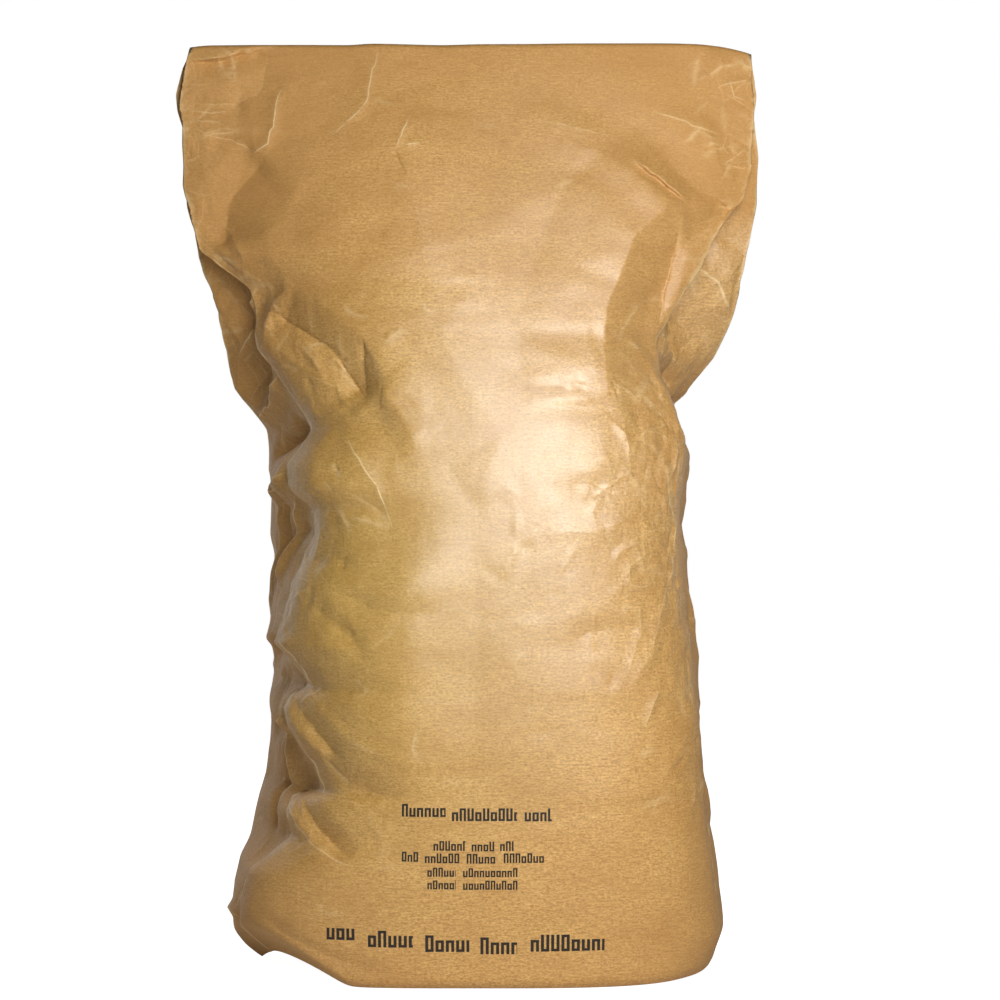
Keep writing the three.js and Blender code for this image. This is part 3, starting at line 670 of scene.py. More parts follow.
def smooth_form():
    """The tube without its folds, over rows z and columns s.

    points are its places, normal their outward directions, and u their lengths along their rows,
    from the middle of the front.
    """
    z = np.linspace(0, HEIGHT, round(HEIGHT / FORM_ROW) + 1)
    front_left, back_left = crease(FRONT_LEFT, z, 1), crease(BACK_LEFT, z, 2)
    front_right, back_right = crease(FRONT_RIGHT, z, 3), crease(BACK_RIGHT, z, 4)
    sides = [
        gusset(back_left, front_left, z, -1),
        panel(front_left, front_right, profile(FRONT_MIDDLE, z), z),
        gusset(front_right, back_right, z, 1),
        panel(back_right, back_left, profile(BACK_MIDDLE, z), z),
    ]
    x, y = (np.concatenate([part[axis] for part in sides], 1) for axis in (0, 1))
    half = FORM_PANEL_COLUMNS // 2
    x, y = np.roll(x, half, 1), np.roll(y, half, 1)
    x, y = np.append(x, x[:, :1], 1), np.append(y, y[:, :1], 1)
    s = columns_round(FORM_PANEL_COLUMNS, FORM_GUSSET_COLUMNS)
    points = np.stack([x, y, np.broadcast_to(z[:, None], x.shape)], 2)
    lengths = np.linalg.norm(np.diff(points, axis=1), axis=2).cumsum(1)
    u = np.append(np.zeros((len(z), 1)), lengths, 1)
    front = slice(half + FORM_GUSSET_COLUMNS, half + FORM_GUSSET_COLUMNS + FORM_PANEL_COLUMNS)
    rows = zip(x[:, front], u[:, front])
    middle = np.array([np.interp(SACK_CENTRE[0], row_x, row_u) for row_x, row_u in rows])
    u = u - middle[:, None]
    around = np.concatenate([points[:, 1:2] - points[:, -2:-1], points[:, 2:] - points[:, :-2]], 1)
    around = np.append(around, around[:, :1], 1)
    normal = np.cross(around, np.gradient(points, axis=0))
    normal /= np.linalg.norm(normal, axis=2, keepdims=True)
    return SimpleNamespace(s=s, z=z, points=points, normal=normal, u=u)


def sample(form, values, s, z):
    """A grid's values at places [s, z]."""
    column = np.interp(s % GIRTH, form.s, np.arange(len(form.s)))
    column = np.where(s == GIRTH, len(form.s) - 1, column)
    row = np.clip(z / HEIGHT, 0, 1) * (len(form.z) - 1)
    i = np.minimum(column.astype(int), len(form.s) - 2)
    j = np.minimum(row.astype(int), len(form.z) - 2)
    a, b = column - i, row - j
    if values.ndim == 3:
        a, b = a[..., None], b[..., None]
    lower = mix(values[j, i], values[j, i + 1], a)
    upper = mix(values[j + 1, i], values[j + 1, i + 1], a)
    return mix(lower, upper, b)


# ---- Points on the paper -------------------------------------------------------------------------


def resampled(line, step):
    """A line's points with more between them, so that no two are further apart than step."""
    parts = [line[:1]]
    for a, b in zip(line[:-1], line[1:]):
        count = max(1, math.ceil(np.linalg.norm(b - a) / step))
        parts.append(a + (b - a) * np.linspace(0, 1, count + 1)[1:, None])
    return np.concatenate(parts)


def beside(line, distance):
    """A line beside another, on its left where distance is over zero. It may differ by point."""
    along = np.gradient(line, axis=0)
    along /= np.linalg.norm(along, axis=1, keepdims=True)
    return line + distance * np.stack([-along[:, 1], along[:, 0]], 1)


def laid_out(form, side, line):
    """A line over a side's own [x or y, z], as one over the paper's [s, z]."""
    s = np.linspace(side.start, side.end, SIDE_SAMPLES)
    places = []
    for across, z in line:
        row = sample(form, form.points[..., side.axis], s, np.full(s.shape, z))
        flip = slice(None, None, -1 if row[-1] < row[0] else 1)
        places.append([np.interp(across, row[flip], s[flip]), z])
    return np.array(places)


def fold_lines(form, side):
    """The lines of points for a side's folds: along and beside each crest, and at steep feet."""
    lines = []
    for one in side.folds:
        line = resampled(one["line"], CREST_STEP)
        offsets = [0, BAND, -BAND]
        offsets += [one["above"]] if one["above"] < STEEP else []
        offsets += [-one["below"]] if one["below"] < STEEP else []
        lines += [laid_out(form, side, beside(line, offset)) for offset in offsets]
    return lines


def facets():
    """The paper's flat facets: corners [s, z, height], and the triangles between them.

    They meet at the seam. Corners that lie close together share one height, so no facet is steep.
    """
    rng = np.random.default_rng(PAPER_SEED + 9)
    columns, rows = round(GIRTH / FACET_SIZE), round(HEIGHT / FACET_SIZE) + 3
    pitch = np.array([GIRTH / columns, FACET_SIZE])
    corners = np.stack(np.meshgrid(np.arange(columns), np.arange(rows) - 1.0), 2).reshape(-1, 2)
    corners[:, 0] += 0.5 * (corners[:, 1] % 2)
    corners = (corners + rng.uniform(-FACET_JITTER, FACET_JITTER, corners.shape)) * pitch
    heights = rng.normal(0, 1, (len(corners), 1))
    corners = np.append(corners, heights, 1)
    corners = np.concatenate([corners + [shift, 0, 0] for shift in (-GIRTH, 0, GIRTH)])
    apart = np.hypot(*(corners[:, None, :2] - corners[None, :, :2]).transpose(2, 0, 1))
    close = apart < FACET_SIZE / 3
    corners[:, 2] = close @ corners[:, 2] / close.sum(1)
    margin = 3 * FACET_SIZE
    corners = corners[(corners[:, 0] > -margin) & (corners[:, 0] < GIRTH + margin)]
    triangles = delaunay_2d_cdt([Vector(c[:2]) for c in corners], [], [], 0, TOLERANCE)[2]
    return corners, triangles


def facet_heights(corners, triangles, s, z):
    """The facets' height at places [s, z], flat over each triangle."""
    height = np.zeros(s.shape)
    for triangle in triangles:
        (ax, az, ah), (bx, bz, bh), (cx, cz, ch) = corners[list(triangle)]
        near = (s >= min(ax, bx, cx)) & (s <= max(ax, bx, cx))
        near &= (z >= min(az, bz, cz)) & (z <= max(az, bz, cz))
        if not near.any():
            continue
        area = (bx - ax) * (cz - az) - (cx - ax) * (bz - az)
        b = ((s[near] - ax) * (cz - az) - (cx - ax) * (z[near] - az)) / area
        c = ((bx - ax) * (z[near] - az) - (s[near] - ax) * (bz - az)) / area
        inside = (b >= -TOLERANCE) & (c >= -TOLERANCE) & (b + c <= 1 + TOLERANCE)
        height[near] = np.where(inside, ah + b * (bh - ah) + c * (ch - ah), height[near])
    return height


def crumpling(s, z):
    """How crumpled the paper is, from 0 to 1, at places [s, z]."""
    beside_crease = bell(nearest_crease(s), CRUMPLED_CREASE_REACH)
    most = LEAST_CRUMPLED + CRUMPLED_AT_CREASE * beside_crease
    for middle, reach, count in CRUMPLED:
        reach_s, reach_z = (CRUMPLED_SPREAD * r for r in reach)
        near = bell(s - middle[0], reach_s) * bell(z - middle[1], reach_z)
        most = np.maximum(most, min(1, count / FULLY_CRUMPLED) * near)
    return most * smooth(z / CRUMPLED_FADE[0]) * smooth((HEIGHT - z) / CRUMPLED_FADE[1])


def facet_strength(s, z):
    """The facets' relief in millimetres: least on the taut middle, most by the creases at the neck."""
    distance = nearest_crease(s)
    neck = bell(z - NECK_HEIGHT, FACET_NECK_REACH[0]) * bell(distance, FACET_NECK_REACH[1])
    crease_share = bell(distance, FACET_CREASE_REACH)
    return FACET_RELIEF + FACET_RELIEF_AT_NECK * neck + FACET_RELIEF_AT_CREASE * crease_share


def folded(form, wrinkles, shapes, s, z):
    """The paper's points in space, with every fold, and how much each lies on a crest, which is how
    pale it is painted: partly wear, and partly a painted highlight.
    """
    points = sample(form, form.points, s, z)
    crest = np.zeros(s.shape)
    for side in SIDES:
        here = (s >= side.start) & (s <= side.end) | (s + GIRTH <= side.end)
        across, height = points[here][:, side.axis], z[here]
        lift, side_crest = all_folds(side.folds, across, height)
        if side in (LEFT_GUSSET, RIGHT_GUSSET):
            share = (s[here] - side.start) / (side.end - side.start)
            edge_fade = smooth(np.minimum(share, 1 - share) * 8)
            lift, side_crest = lift * edge_fade, side_crest * edge_fade
            for at, weight in ((side.start, (1 - share) ** 2), (side.end, share**2)):
                panel_side = FRONT if at in (FRONT_START, RIGHT_START) else BACK
                edge_x = sample(form, form.points[..., 0], np.full(height.shape, at), height)
                carried = all_folds(panel_side.folds, edge_x, height)[0] * weight
                points[here, 1] += panel_side.outward[1] * carried * (0 < share) * (share < 1)
        points[here, :2] += lift[:, None] * np.array(side.outward)
        crest[here] = np.maximum(crest[here], side_crest)
    relief, small_crest = all_folds(wrinkles, s, z)
    relief += facet_heights(*shapes, s, z) * facet_strength(s, z)
    fade = smooth(z / RELIEF_FADE[0]) * smooth((HEIGHT - z) / RELIEF_FADE[1])
    points += sample(form, form.normal, s, z) * (relief * fade)[:, None]
    # The corner creases are painted pale: partly wear, and partly a painted highlight on their edges.
    rng = np.random.default_rng(PAPER_SEED + 12)
    whitened_by_height = rng.uniform(0.1, 1, len(CREASE_WEAR_AND_HIGHLIGHT_HEIGHTS))
    corner = np.interp(z, CREASE_WEAR_AND_HIGHLIGHT_HEIGHTS, whitened_by_height)
    worn_and_highlit = (np.abs(s - RIGHT_START) < BAND) & (z > WORN_AND_HIGHLIGHT_HEIGHTS[0]) & (z < WORN_AND_HIGHLIGHT_HEIGHTS[1])
    corner = np.where(worn_and_highlit, np.maximum(corner, WORN_AND_HIGHLIGHT_AMOUNT), corner)
    corner = corner * bell(nearest_crease(s), CREASE_WEAR_AND_HIGHLIGHT_WIDTH)
    return round_ends(points), np.max([crest, SMALL_FOLD_WEAR * small_crest, corner], axis=0)


def round_ends(points):
    """Rounds the wall into the base, turns up the base's corners, and rounds and drops the top."""
    x, y, z = points[:, 0], points[:, 1], points[:, 2]
    below = np.clip((BASE_RADIUS - z) / BASE_RADIUS, 0, 1)
    inset = BASE_RADIUS * (1 - np.sqrt(1 - below**2))
    keep = 1 - inset / np.hypot(x, y)
    crest = np.clip((z - (HEIGHT - CREST_RADIUS)) / CREST_RADIUS, 0, 1)
    squeeze = np.sqrt(1 - CREST_SHARE * crest**2)
    top_middle = TOP_MIDDLE * smooth((z - CLOSING[0]) / CLOSING[1])
    drop = profile(TOP_DROP, x) * smooth((z - DROPPING[0]) / DROPPING[1])
    points = np.stack([x * keep, top_middle + (y * keep - top_middle) * squeeze, z - drop], 1)
    for direction, distance, softness in BASE_CORNERS:
        outward = np.array(direction) / np.linalg.norm(direction)
        beyond = softness * np.logaddexp(0, (points @ outward - distance) / softness)
        points = points - beyond[:, None] * outward
    points[:, 2] = np.maximum(points[:, 2], 0)
    return points


# ---- Meshes --------------------------------------------------------------------------------------


def make_object(name, vertices, faces, material):
    mesh = bpy.data.meshes.new(name)
    mesh.from_pydata(vertices, [], faces)
    mesh.shade_smooth()
    mesh.materials.append(material)
    thing = bpy.data.objects.new(name, mesh)
    bpy.context.scene.collection.objects.link(thing)
    return thing


def add_uv(mesh, name, corners):
    """A UV map from one place for each corner of each face."""
    mesh.uv_layers.new(name=name).uv.foreach_set("vector", corners.astype(np.float32).ravel())


def away_from(lines, places, distance, cell=0.5):
    """The places that lie further than distance from every point of the lines, to within a cell."""
    shape = (round(GIRTH / cell) + 2, round(HEIGHT / cell) + 2)
    taken = np.zeros(shape, bool)
    marks = np.concatenate(lines) / cell
    reach = math.ceil(distance / cell)
    for i in range(-reach, reach + 1):
        for j in range(-reach, reach + 1):
            if math.hypot(i, j) * cell <= distance:
                column = np.clip(marks[:, 0] + i, 0, shape[0] - 1).astype(int)
                row = np.clip(marks[:, 1] + j, 0, shape[1] - 1).astype(int)
                taken[column, row] = True
    at = (places / cell).astype(int)
    return places[~taken[at[:, 0], at[:, 1]]]


def within(lines):
    """The stretches of the lines that stay clear of the seam and of both ends."""
    for line in lines:
        line = line.copy()
        line[:, 0] %= GIRTH
        inside = (line[:, 0] > CLEAR_OF_SEAM) & (line[:, 0] < GIRTH - CLEAR_OF_SEAM)
        inside &= (line[:, 1] > CLEAR_OF_BASE) & (line[:, 1] < HEIGHT - CLEAR_OF_TOP)
        jumps = np.flatnonzero(np.abs(np.diff(line[:, 0])) > GIRTH / 2) + 1
        for piece, keep in zip(np.split(line, jumps), np.split(inside, jumps)):
            breaks = np.flatnonzero(np.diff(keep.astype(int))) + 1
            for run, kept in zip(np.split(piece, breaks), np.split(keep, breaks)):
                if kept[0] and len(run) > 1:
                    yield run


def triangulate(form, wrinkles, shapes):
    """The unrolled paper as places [s, z] and triangles, with edges along every crease and fold."""
    columns = columns_round(EDGE_PANEL_COLUMNS, EDGE_GUSSET_COLUMNS)
    ends = np.array([[s, z] for z in LOW_ROWS + HIGH_ROWS for s in columns])
    seam_steps = round((HIGH_ROWS[0] - LOW_ROWS[-1]) / LATTICE)
    seam_rows = np.linspace(LOW_ROWS[-1], HIGH_ROWS[0], seam_steps + 1)[1:-1]
    seam = np.array([[s, z] for s in (0, GIRTH) for z in seam_rows])

    lines = []
    for at in CREASES:
        ends_of_crease = np.array([[at, CLEAR_OF_BASE + 0.5], [at, HEIGHT - CLEAR_OF_TOP - 0.5]])
        line = resampled(ends_of_crease, CREST_STEP)
        lines += [line + [offset, 0] for offset in (0, BAND, -BAND)]
    for part in SIDES:
        lines += fold_lines(form, part)
    lines += [resampled(one["line"], LATTICE) for one in wrinkles]
    corners, triangles = shapes
    sides = {tuple(sorted(pair)) for a, b, c in triangles for pair in ((a, b), (b, c), (c, a))}
    for a, b in sorted(sides):
        first, last = sorted(corners[[a, b], 0])
        if first > -FACET_SIZE and last < GIRTH + FACET_SIZE:
            lines.append(resampled(corners[[a, b], :2], LATTICE))
    lines = list(within(lines))

    lattice = []
    for k, z in enumerate(np.arange(CLEAR_OF_BASE, HEIGHT - CLEAR_OF_TOP + 1, LATTICE * ROW_SHARE)):
        first = LATTICE_MARGIN + LATTICE / 2 * (k % 2)
        lattice += [[s, z] for s in np.arange(first, GIRTH - LATTICE_MARGIN, LATTICE)]
    lattice = away_from(lines, np.array(lattice), 0.5 * LATTICE)

    places = np.concatenate([ends, seam, lattice] + lines)
    edges, at = [], len(places) - sum(len(line) for line in lines)
    for line in lines:
        edges += [(i, i + 1) for i in range(at, at + len(line) - 1)]
        at += len(line)
    made = delaunay_2d_cdt([Vector(place) for place in places], edges, [], 0, SNAP)
    return np.array([tuple(v) for v in made[0]]), np.array(made[2])


def between(front, back, steps):
    """Points between two chains, as steps - 1 rows: the inside of a cap."""
    shares = np.linspace(0, 1, steps + 1)[1:-1]
    return np.array([mix(front, back, share) for share in shares])


def chains(places, z):
    """The points at one end of the tube: two chains, round the front and round the back.

    Both run from the middle of the left gusset to the middle of the right one.
    """
    at_end = np.flatnonzero(np.abs(places[:, 1] - z) < TOLERANCE)
    around = at_end[np.argsort(places[at_end, 0])][:-1]
    start = EDGE_PANEL_COLUMNS // 2 + EDGE_GUSSET_COLUMNS // 2
    steps = np.arange(len(around) // 2 + 1)
    return around[(start + steps) % len(around)], around[(start - steps) % len(around)]


def bend_folds():
    """Gives each side its own folds, bent a little."""
    all_sides = zip(SIDES, (FRONT_FOLDS, BACK_FOLDS, LEFT_FOLDS, RIGHT_FOLDS))
    for seed, (side, folds) in enumerate(all_sides, 40):
        side.folds = wandering(folds, seed)


def welded(places):
    """For each point its own number, or at the last column, which meets the first, its fellow's."""
    s, z = places[:, 0], places[:, 1]
    weld = np.arange(len(places))
    first, last = np.flatnonzero(s == 0), np.flatnonzero(s == GIRTH)
    weld[last[np.argsort(z[last])]] = first[np.argsort(z[first])]
    return weld


def base_and_top(places, points):
    """The faces that shut the tube's two ends, and the points inside the base, which come last."""
    front, back = chains(places, 0)
    bottom = between(points[front], points[back], BASE_STEPS)[:, 1:-1]
    rows, columns = bottom.shape[:2]
    grid = np.zeros((BASE_STEPS + 1, len(front)), int)
    grid[0], grid[-1], grid[:, 0], grid[:, -1] = front, back, front[0], front[-1]
    grid[1:-1, 1:-1] = len(places) + np.arange(rows * columns).reshape(rows, columns)
    corners = (grid[:-1, :-1], grid[1:, :-1], grid[1:, 1:], grid[:-1, 1:])
    caps = np.stack(corners, 2).reshape(-1, 4).tolist()
    top_front, top_back = chains(places, HEIGHT)
    caps += np.stack([top_front[:-1], top_front[1:], top_back[1:], top_back[:-1]], 1).tolist()
    caps = [list(dict.fromkeys(cap)) for cap in caps]
    return [cap for cap in caps if len(cap) > 2], bottom.reshape(-1, 3)


def build_sack(material):
    """The tube with its folds, shut at the base and at the top, as one closed skin."""
    form, wrinkles, shapes = smooth_form(), small_folds(), facets()
    places, triangles = triangulate(form, wrinkles, shapes)
    s, z = places[:, 0], places[:, 1]
    wall_points, wear_and_highlight = folded(form, wrinkles, shapes, s, z)
    caps, base_points = base_and_top(places, wall_points)
    points = np.concatenate([wall_points, base_points])
    weld = np.append(welded(places), np.arange(len(places), len(points)))
    used, new_index = np.unique(weld, return_inverse=True)
    vertices = (points[used] - SACK_CENTRE) * MM
    faces = new_index[triangles].tolist() + [new_index[cap].tolist() for cap in caps]
    sack = make_object("sack_paper", vertices.tolist(), faces, material)

    on_wall, on_cap = triangles.ravel(), np.concatenate(caps)
    wall_paper = np.stack([sample(form, form.u, s, z), z], 1)
    paper = np.concatenate([wall_paper[on_wall], points[on_cap, :2] + CAP_PAPER])
    add_uv(sack.data, "paper", paper * MM)
    wall_island = places * [WALL_ISLAND[0] / GIRTH, WALL_ISLAND[1] / HEIGHT] + WALL_ISLAND_CORNER
    island_middle = np.where(points[:, 2:] > HEIGHT / 2, TOP_ISLAND_MIDDLE, BASE_ISLAND_MIDDLE)
    cap_island = points[:, :2] * CAP_ISLAND_SCALE + island_middle
    add_uv(sack.data, "OFBake", np.concatenate([wall_island[on_wall], cap_island[on_cap]]))
    # The first attribute paints crests and creases pale: partly wear, partly a painted highlight.
    for name, values in (("wear_and_highlight", wear_and_highlight), ("crumple", crumpling(s, z))):
        values = np.append(values, np.zeros(len(base_points)))[used].astype(np.float32)
        sack.data.attributes.new(name, "FLOAT", "POINT").data.foreach_set("value", values)
    return sack


def build_folded_end(material):
    """The sack's top end, folded down onto the back and glued: two skins and the edge between."""
    form, wrinkles, shapes = smooth_form(), [], ([], [])
    rng = np.random.default_rng(PAPER_SEED + 20)
    columns = np.linspace(BACK_START + FLAP_INSET, GIRTH + LEFT_START - FLAP_INSET, FLAP_COLUMNS)
    knots = np.linspace(columns[0], columns[-1], FLAP_KNOTS)
    lower = HEIGHT - FLAP_HEIGHT + np.interp(columns, knots, rng.normal(0, 0.5, knots.size))
    lifted = np.interp(columns, knots, rng.uniform(*FLAP_LIFT, knots.size))
    skins = []
    for thickness in (0, FLAP_THICKNESS):
        rows = []
        for share in np.linspace(0, 1, FLAP_ROWS):
            z = mix(HEIGHT - FLAP_START, lower, share)
            points, _ = folded(form, wrinkles, shapes, columns % GIRTH, z)
            off = FLAP_GAP + thickness + FLAP_SPRING * smooth(share * 3) + lifted * share**2
            points[:, 1] += off
            rows.append(points)
        skins.append(np.array(rows))
    inner, outer = skins
    index = np.arange(inner.size // 3).reshape(inner.shape[:2])
    shift = inner.size // 3
    faces = []
    for grid, turned in ((index, True), (index + shift, False)):
        quads = np.stack([grid[:-1, :-1], grid[:-1, 1:], grid[1:, 1:], grid[1:, :-1]], 2).reshape(-1, 4)
        faces += (quads[:, ::-1] if turned else quads).tolist()
    rim = np.concatenate([index[0, :-1], index[:-1, -1], index[-1, :0:-1], index[:0:-1, 0]])
    following = np.roll(rim, -1)
    faces += np.stack([rim, following, following + shift, rim + shift], 1).tolist()
    vertices = np.concatenate([inner.reshape(-1, 3), outer.reshape(-1, 3)])
    flap = make_object("folded_end", ((vertices - SACK_CENTRE) * MM).tolist(), faces, material)
    corners = np.array([c for face in faces for c in face])
    add_uv(flap.data, "paper", (vertices[corners][:, [0, 2]] + (CAP_PAPER[0], 0)) * MM)
    return flap


# ---- Materials -----------------------------------------------------------------------------------

# The print on the front, in millimetres over the paper: each row's middle height, its height, and
# its words. A word is where it starts and ends, and how far it stands above its row, as the rows
# sag on the full sack.
PRINT_ROWS = [
    (147, 10.5, [(-52, -16, 2.5), (-11, 42, -1), (48, 70, -1.2)]),
    (120, 8, [(-26, 0, 0.5), (5, 24, 0), (28, 39, 0.3)]),
    (110, 8, [(-52, -38, 1.2), (-33, -5, 0.3), (1, 25, 0), (31, 64, 0.4)]),
    (98.5, 7.5, [(-31, -8, 0.4), (-2, 43, 0)]),
    (88, 7.5, [(-31, -8, 0.4), (-2, 43, 0)]),
    (38.5, 14, [(-115, -91, 9.5), (-80, -43, 4.5), (-33, 3, 0.8), (12, 42, -1), (53, 114, 1)]),
]
INK_COVER = 0.98

# Patches of the paper: each one's name, its middle and how far it reaches, in metres over the
# paper. All of them paint light or shade. The paper is tinted olive as painted shade in the first,
# and painted browner and darker as shade, and made duller, outside the lit middle. The sheen spot
# is a painted sheen, an extra coat where the key light's highlight falls. Where the right gusset is
# lit, the painted shade is left off and a coat sheen is added.
PATCHES = [
    ("Olive_shade", (-0.09, 0.33), (0.26, 0.34)),
    ("Lit_middle", (0.02, 0.30), (0.30, 0.62)),
    ("Sheen_spot", (0.065, 0.455), (0.19, 0.34)),
    ("Lit_gusset", (0.275, 0.575), (0.075, 0.085)),
]

LETTER_PITCH = 0.6  # from one letter to the next, as a share of the row's height
LETTER_WIDTH = 0.82  # as a share of the pitch
LETTER_STEM = 0.3  # the width of a letter's two upright strokes, as a share of the pitch
LETTER_BAR = 0.16  # the height of its level strokes, as a share of the row's height
LETTER_LOW = 0.7  # the height of a low letter, as a share of a tall one's
LOW_CHANCE = 0.65  # how many of the letters are low
FOOT_CHANCE = 0.6  # how many have a level stroke at the foot
HEAD_CHANCE = 0.7  # and at the head

# Colours in sRGB, from 0 to 255. The fibres' go from dark to pale, each from a level of the grain.
FIBRE_COLOURS = [(0.38, (170, 119, 46)), (0.62, (239, 193, 115))]
FIBRE_SHARE = 0.68  # of the grain, the rest being streaks
CLOUDED = (178, 124, 54)
# Painted shade: an olive, slightly darker tint over the left of the belly, the side turned from the key
# light.
OLIVE_SHADE = (178, 148, 58)
# Painted shade: the paper is browner and darker away from the lit middle of the front.
PAINTED_SHADE_BROWN = (182, 130, 62)
# Pale along crests and creases: partly worn fibres, partly a painted highlight.
PALE_WEAR_AND_HIGHLIGHT = (250, 222, 166)
INK = (12, 8, 5)

# How much of each colour shows where its mask is full.
CLOUD_AMOUNT = 0.45
# The next two are painted shade: olive over the left of the belly, and browner away from the lit middle.
OLIVE_SHADE_AMOUNT = 0.45
PAINTED_SHADE_AMOUNT = 0.68
RIDGE_WEAR = 0.2

ROUGHNESS = (0.47, 0.61)  # over the streaks
PAINTED_SHADE_ROUGHNESS = 0.24  # what it gains under the painted shade's mask
INK_ROUGHNESS = 0.4
# Painted sheen: coat weight where the key light's highlight falls, and where the right gusset is lit.
SHEEN_SPOT_COAT = 0.85
LIT_GUSSET_COAT = 0.6

# Bump heights in metres.
CRUMPLE_HEIGHT = 0.003
CRACKLE_HEIGHT = 0.0009
FIBRE_HEIGHT = 0.00006

# Each of the paper's noises: its features a metre across and up, its detail and its roughness.
NOISES = {
    "Fibres": ((380, 700), 4.0, 0.75),
    "Streaks": ((110, 560), 4.0, 0.6),
    "Clouds": ((14, 34), 4.0, 0.6),
    "Crackle": ((60, 80), 7.0, 0.68),
}

# The three sizes of crumpled facets: how many there are a metre across and up, and how high.
CRUMPLES = [((52, 30, 1), 0.8), ((115, 75, 1), 0.45), ((240, 170, 1), 0.24)]
CRUMPLE_BEND = (0.018, 0.014, 0)  # how far, in metres, their edges stray
RIDGE_WIDTH = 0.028
RIDGE_CHANCE = 0.55  # how many of their edges are worn


def new_material(name):
    """A material, its node tree and its shader."""
    material = bpy.data.materials.new(name)
    material.use_nodes = True
    tree = material.node_tree
    return material, tree, tree.nodes["Principled BSDF"]


def node(tree, kind, **values):
    """A new node, with values for its inputs and its settings."""
    made = tree.nodes.new(kind)
    for key, value in values.items():
        if key in made.inputs:
            made.inputs[key].default_value = value
        else:
            setattr(made, key, value)
    return made


def linear(*srgb):
    """A linear colour from sRGB numbers from 0 to 255."""
    parts = [c / 255 for c in srgb]
    return tuple(c / 12.92 if c <= 0.04045 else ((c + 0.055) / 1.055) ** 2.4 for c in parts) + (1.0,)


def new_group(name, inputs, outputs):
    """A shader node group with float or vector sockets, and its two ends."""
    group = bpy.data.node_groups.new(name, "ShaderNodeTree")
    for direction, sockets in (("INPUT", inputs), ("OUTPUT", outputs)):
        for socket, kind in sockets.items():
            group.interface.new_socket(socket, in_out=direction, socket_type=kind)
    return group, group.nodes.new("NodeGroupInput"), group.nodes.new("NodeGroupOutput")


def math_node(tree, operation, *values):
    """A Math node's result. Each value is a number or a socket."""
    made = node(tree, "ShaderNodeMath", operation=operation)
    for socket, value in zip(made.inputs, values):
        if isinstance(value, (int, float)):
            socket.default_value = value
        else:
            tree.links.new(value, socket)
    return made.outputs[0]


def stretched_noise(tree, vector, scale, detail, roughness):
    """Noise with its own scale along the paper's width and height, in features a metre."""
    mapping = node(tree, "ShaderNodeMapping")
    mapping.inputs["Scale"].default_value = (*scale, 1)
    tree.links.new(vector, mapping.inputs["Vector"])
    noise = node(tree, "ShaderNodeTexNoise", Scale=1.0, Detail=detail, Roughness=roughness)
    tree.links.new(mapping.outputs["Vector"], noise.inputs["Vector"])
    return noise.outputs["Fac"]


def fibre_group():
    """Kraft paper's fibres, streaks, clouds and crackle, and its patches, each 1 in its middle."""
    outputs = list(NOISES) + [name for name, _, _ in PATCHES]
    group, start, end = new_group(
        "kraft_fibres", {"Paper": "NodeSocketVector"}, dict.fromkeys(outputs, "NodeSocketFloat")
    )
    paper = start.outputs["Paper"]
    for name, noise in NOISES.items():
        group.links.new(stretched_noise(group, paper, *noise), end.inputs[name])
    for name, place, reach in PATCHES:
        around = node(group, "ShaderNodeMapping", vector_type="TEXTURE")
        around.inputs["Location"].default_value = (*place, 0)
        around.inputs["Scale"].default_value = (*reach, 1)
        group.links.new(paper, around.inputs["Vector"])
        patch = node(group, "ShaderNodeTexGradient", gradient_type="SPHERICAL")
        group.links.new(around.outputs["Vector"], patch.inputs["Vector"])
        group.links.new(patch.outputs["Fac"], end.inputs[name])
    return group


def crumple_group():
    """Crumpled paper's small facets: their Height, and the thin Ridges between them."""
    outputs = {"Height": "NodeSocketFloat", "Ridges": "NodeSocketFloat"}
    group, start, end = new_group("paper_crumple", {"Paper": "NodeSocketVector"}, outputs)
    bend = node(group, "ShaderNodeTexNoise", Scale=26.0, Detail=3.0)
    group.links.new(start.outputs["Paper"], bend.inputs["Vector"])
    shift = node(group, "ShaderNodeVectorMath", operation="MULTIPLY_ADD")
    group.links.new(bend.outputs["Color"], shift.inputs[0])
    shift.inputs[1].default_value = CRUMPLE_BEND
    group.links.new(start.outputs["Paper"], shift.inputs[2])
    heights, edges = [], []
    for scale, share in CRUMPLES:
        mapping = node(group, "ShaderNodeMapping")
        mapping.inputs["Scale"].default_value = scale
        group.links.new(shift.outputs["Vector"], mapping.inputs["Vector"])
        cells = {"voronoi_dimensions": "2D", "Scale": 1.0}
        edge = node(group, "ShaderNodeTexVoronoi", feature="DISTANCE_TO_EDGE", **cells)
        cell = node(group, "ShaderNodeTexVoronoi", feature="F1", **cells)
        for texture in (edge, cell):
            group.links.new(mapping.outputs["Vector"], texture.inputs["Vector"])
        apart = node(group, "ShaderNodeSeparateColor")
        group.links.new(cell.outputs["Color"], apart.inputs["Color"])
        tilt = math_node(group, "MULTIPLY_ADD", apart.outputs["Red"], 2.0 * share, -share)
        heights.append(math_node(group, "MULTIPLY", edge.outputs["Distance"], tilt))
        thin = math_node(group, "LESS_THAN", edge.outputs["Distance"], RIDGE_WIDTH)
        seen = math_node(group, "GREATER_THAN", apart.outputs["Green"], 1 - RIDGE_CHANCE)
        edges.append(math_node(group, "MULTIPLY", thin, seen))
    height = math_node(group, "ADD", math_node(group, "ADD", heights[0], heights[1]), heights[2])
    group.links.new(height, end.inputs["Height"])
    group.links.new(math_node(group, "MAXIMUM", edges[0], edges[1]), end.inputs["Ridges"])
    return group


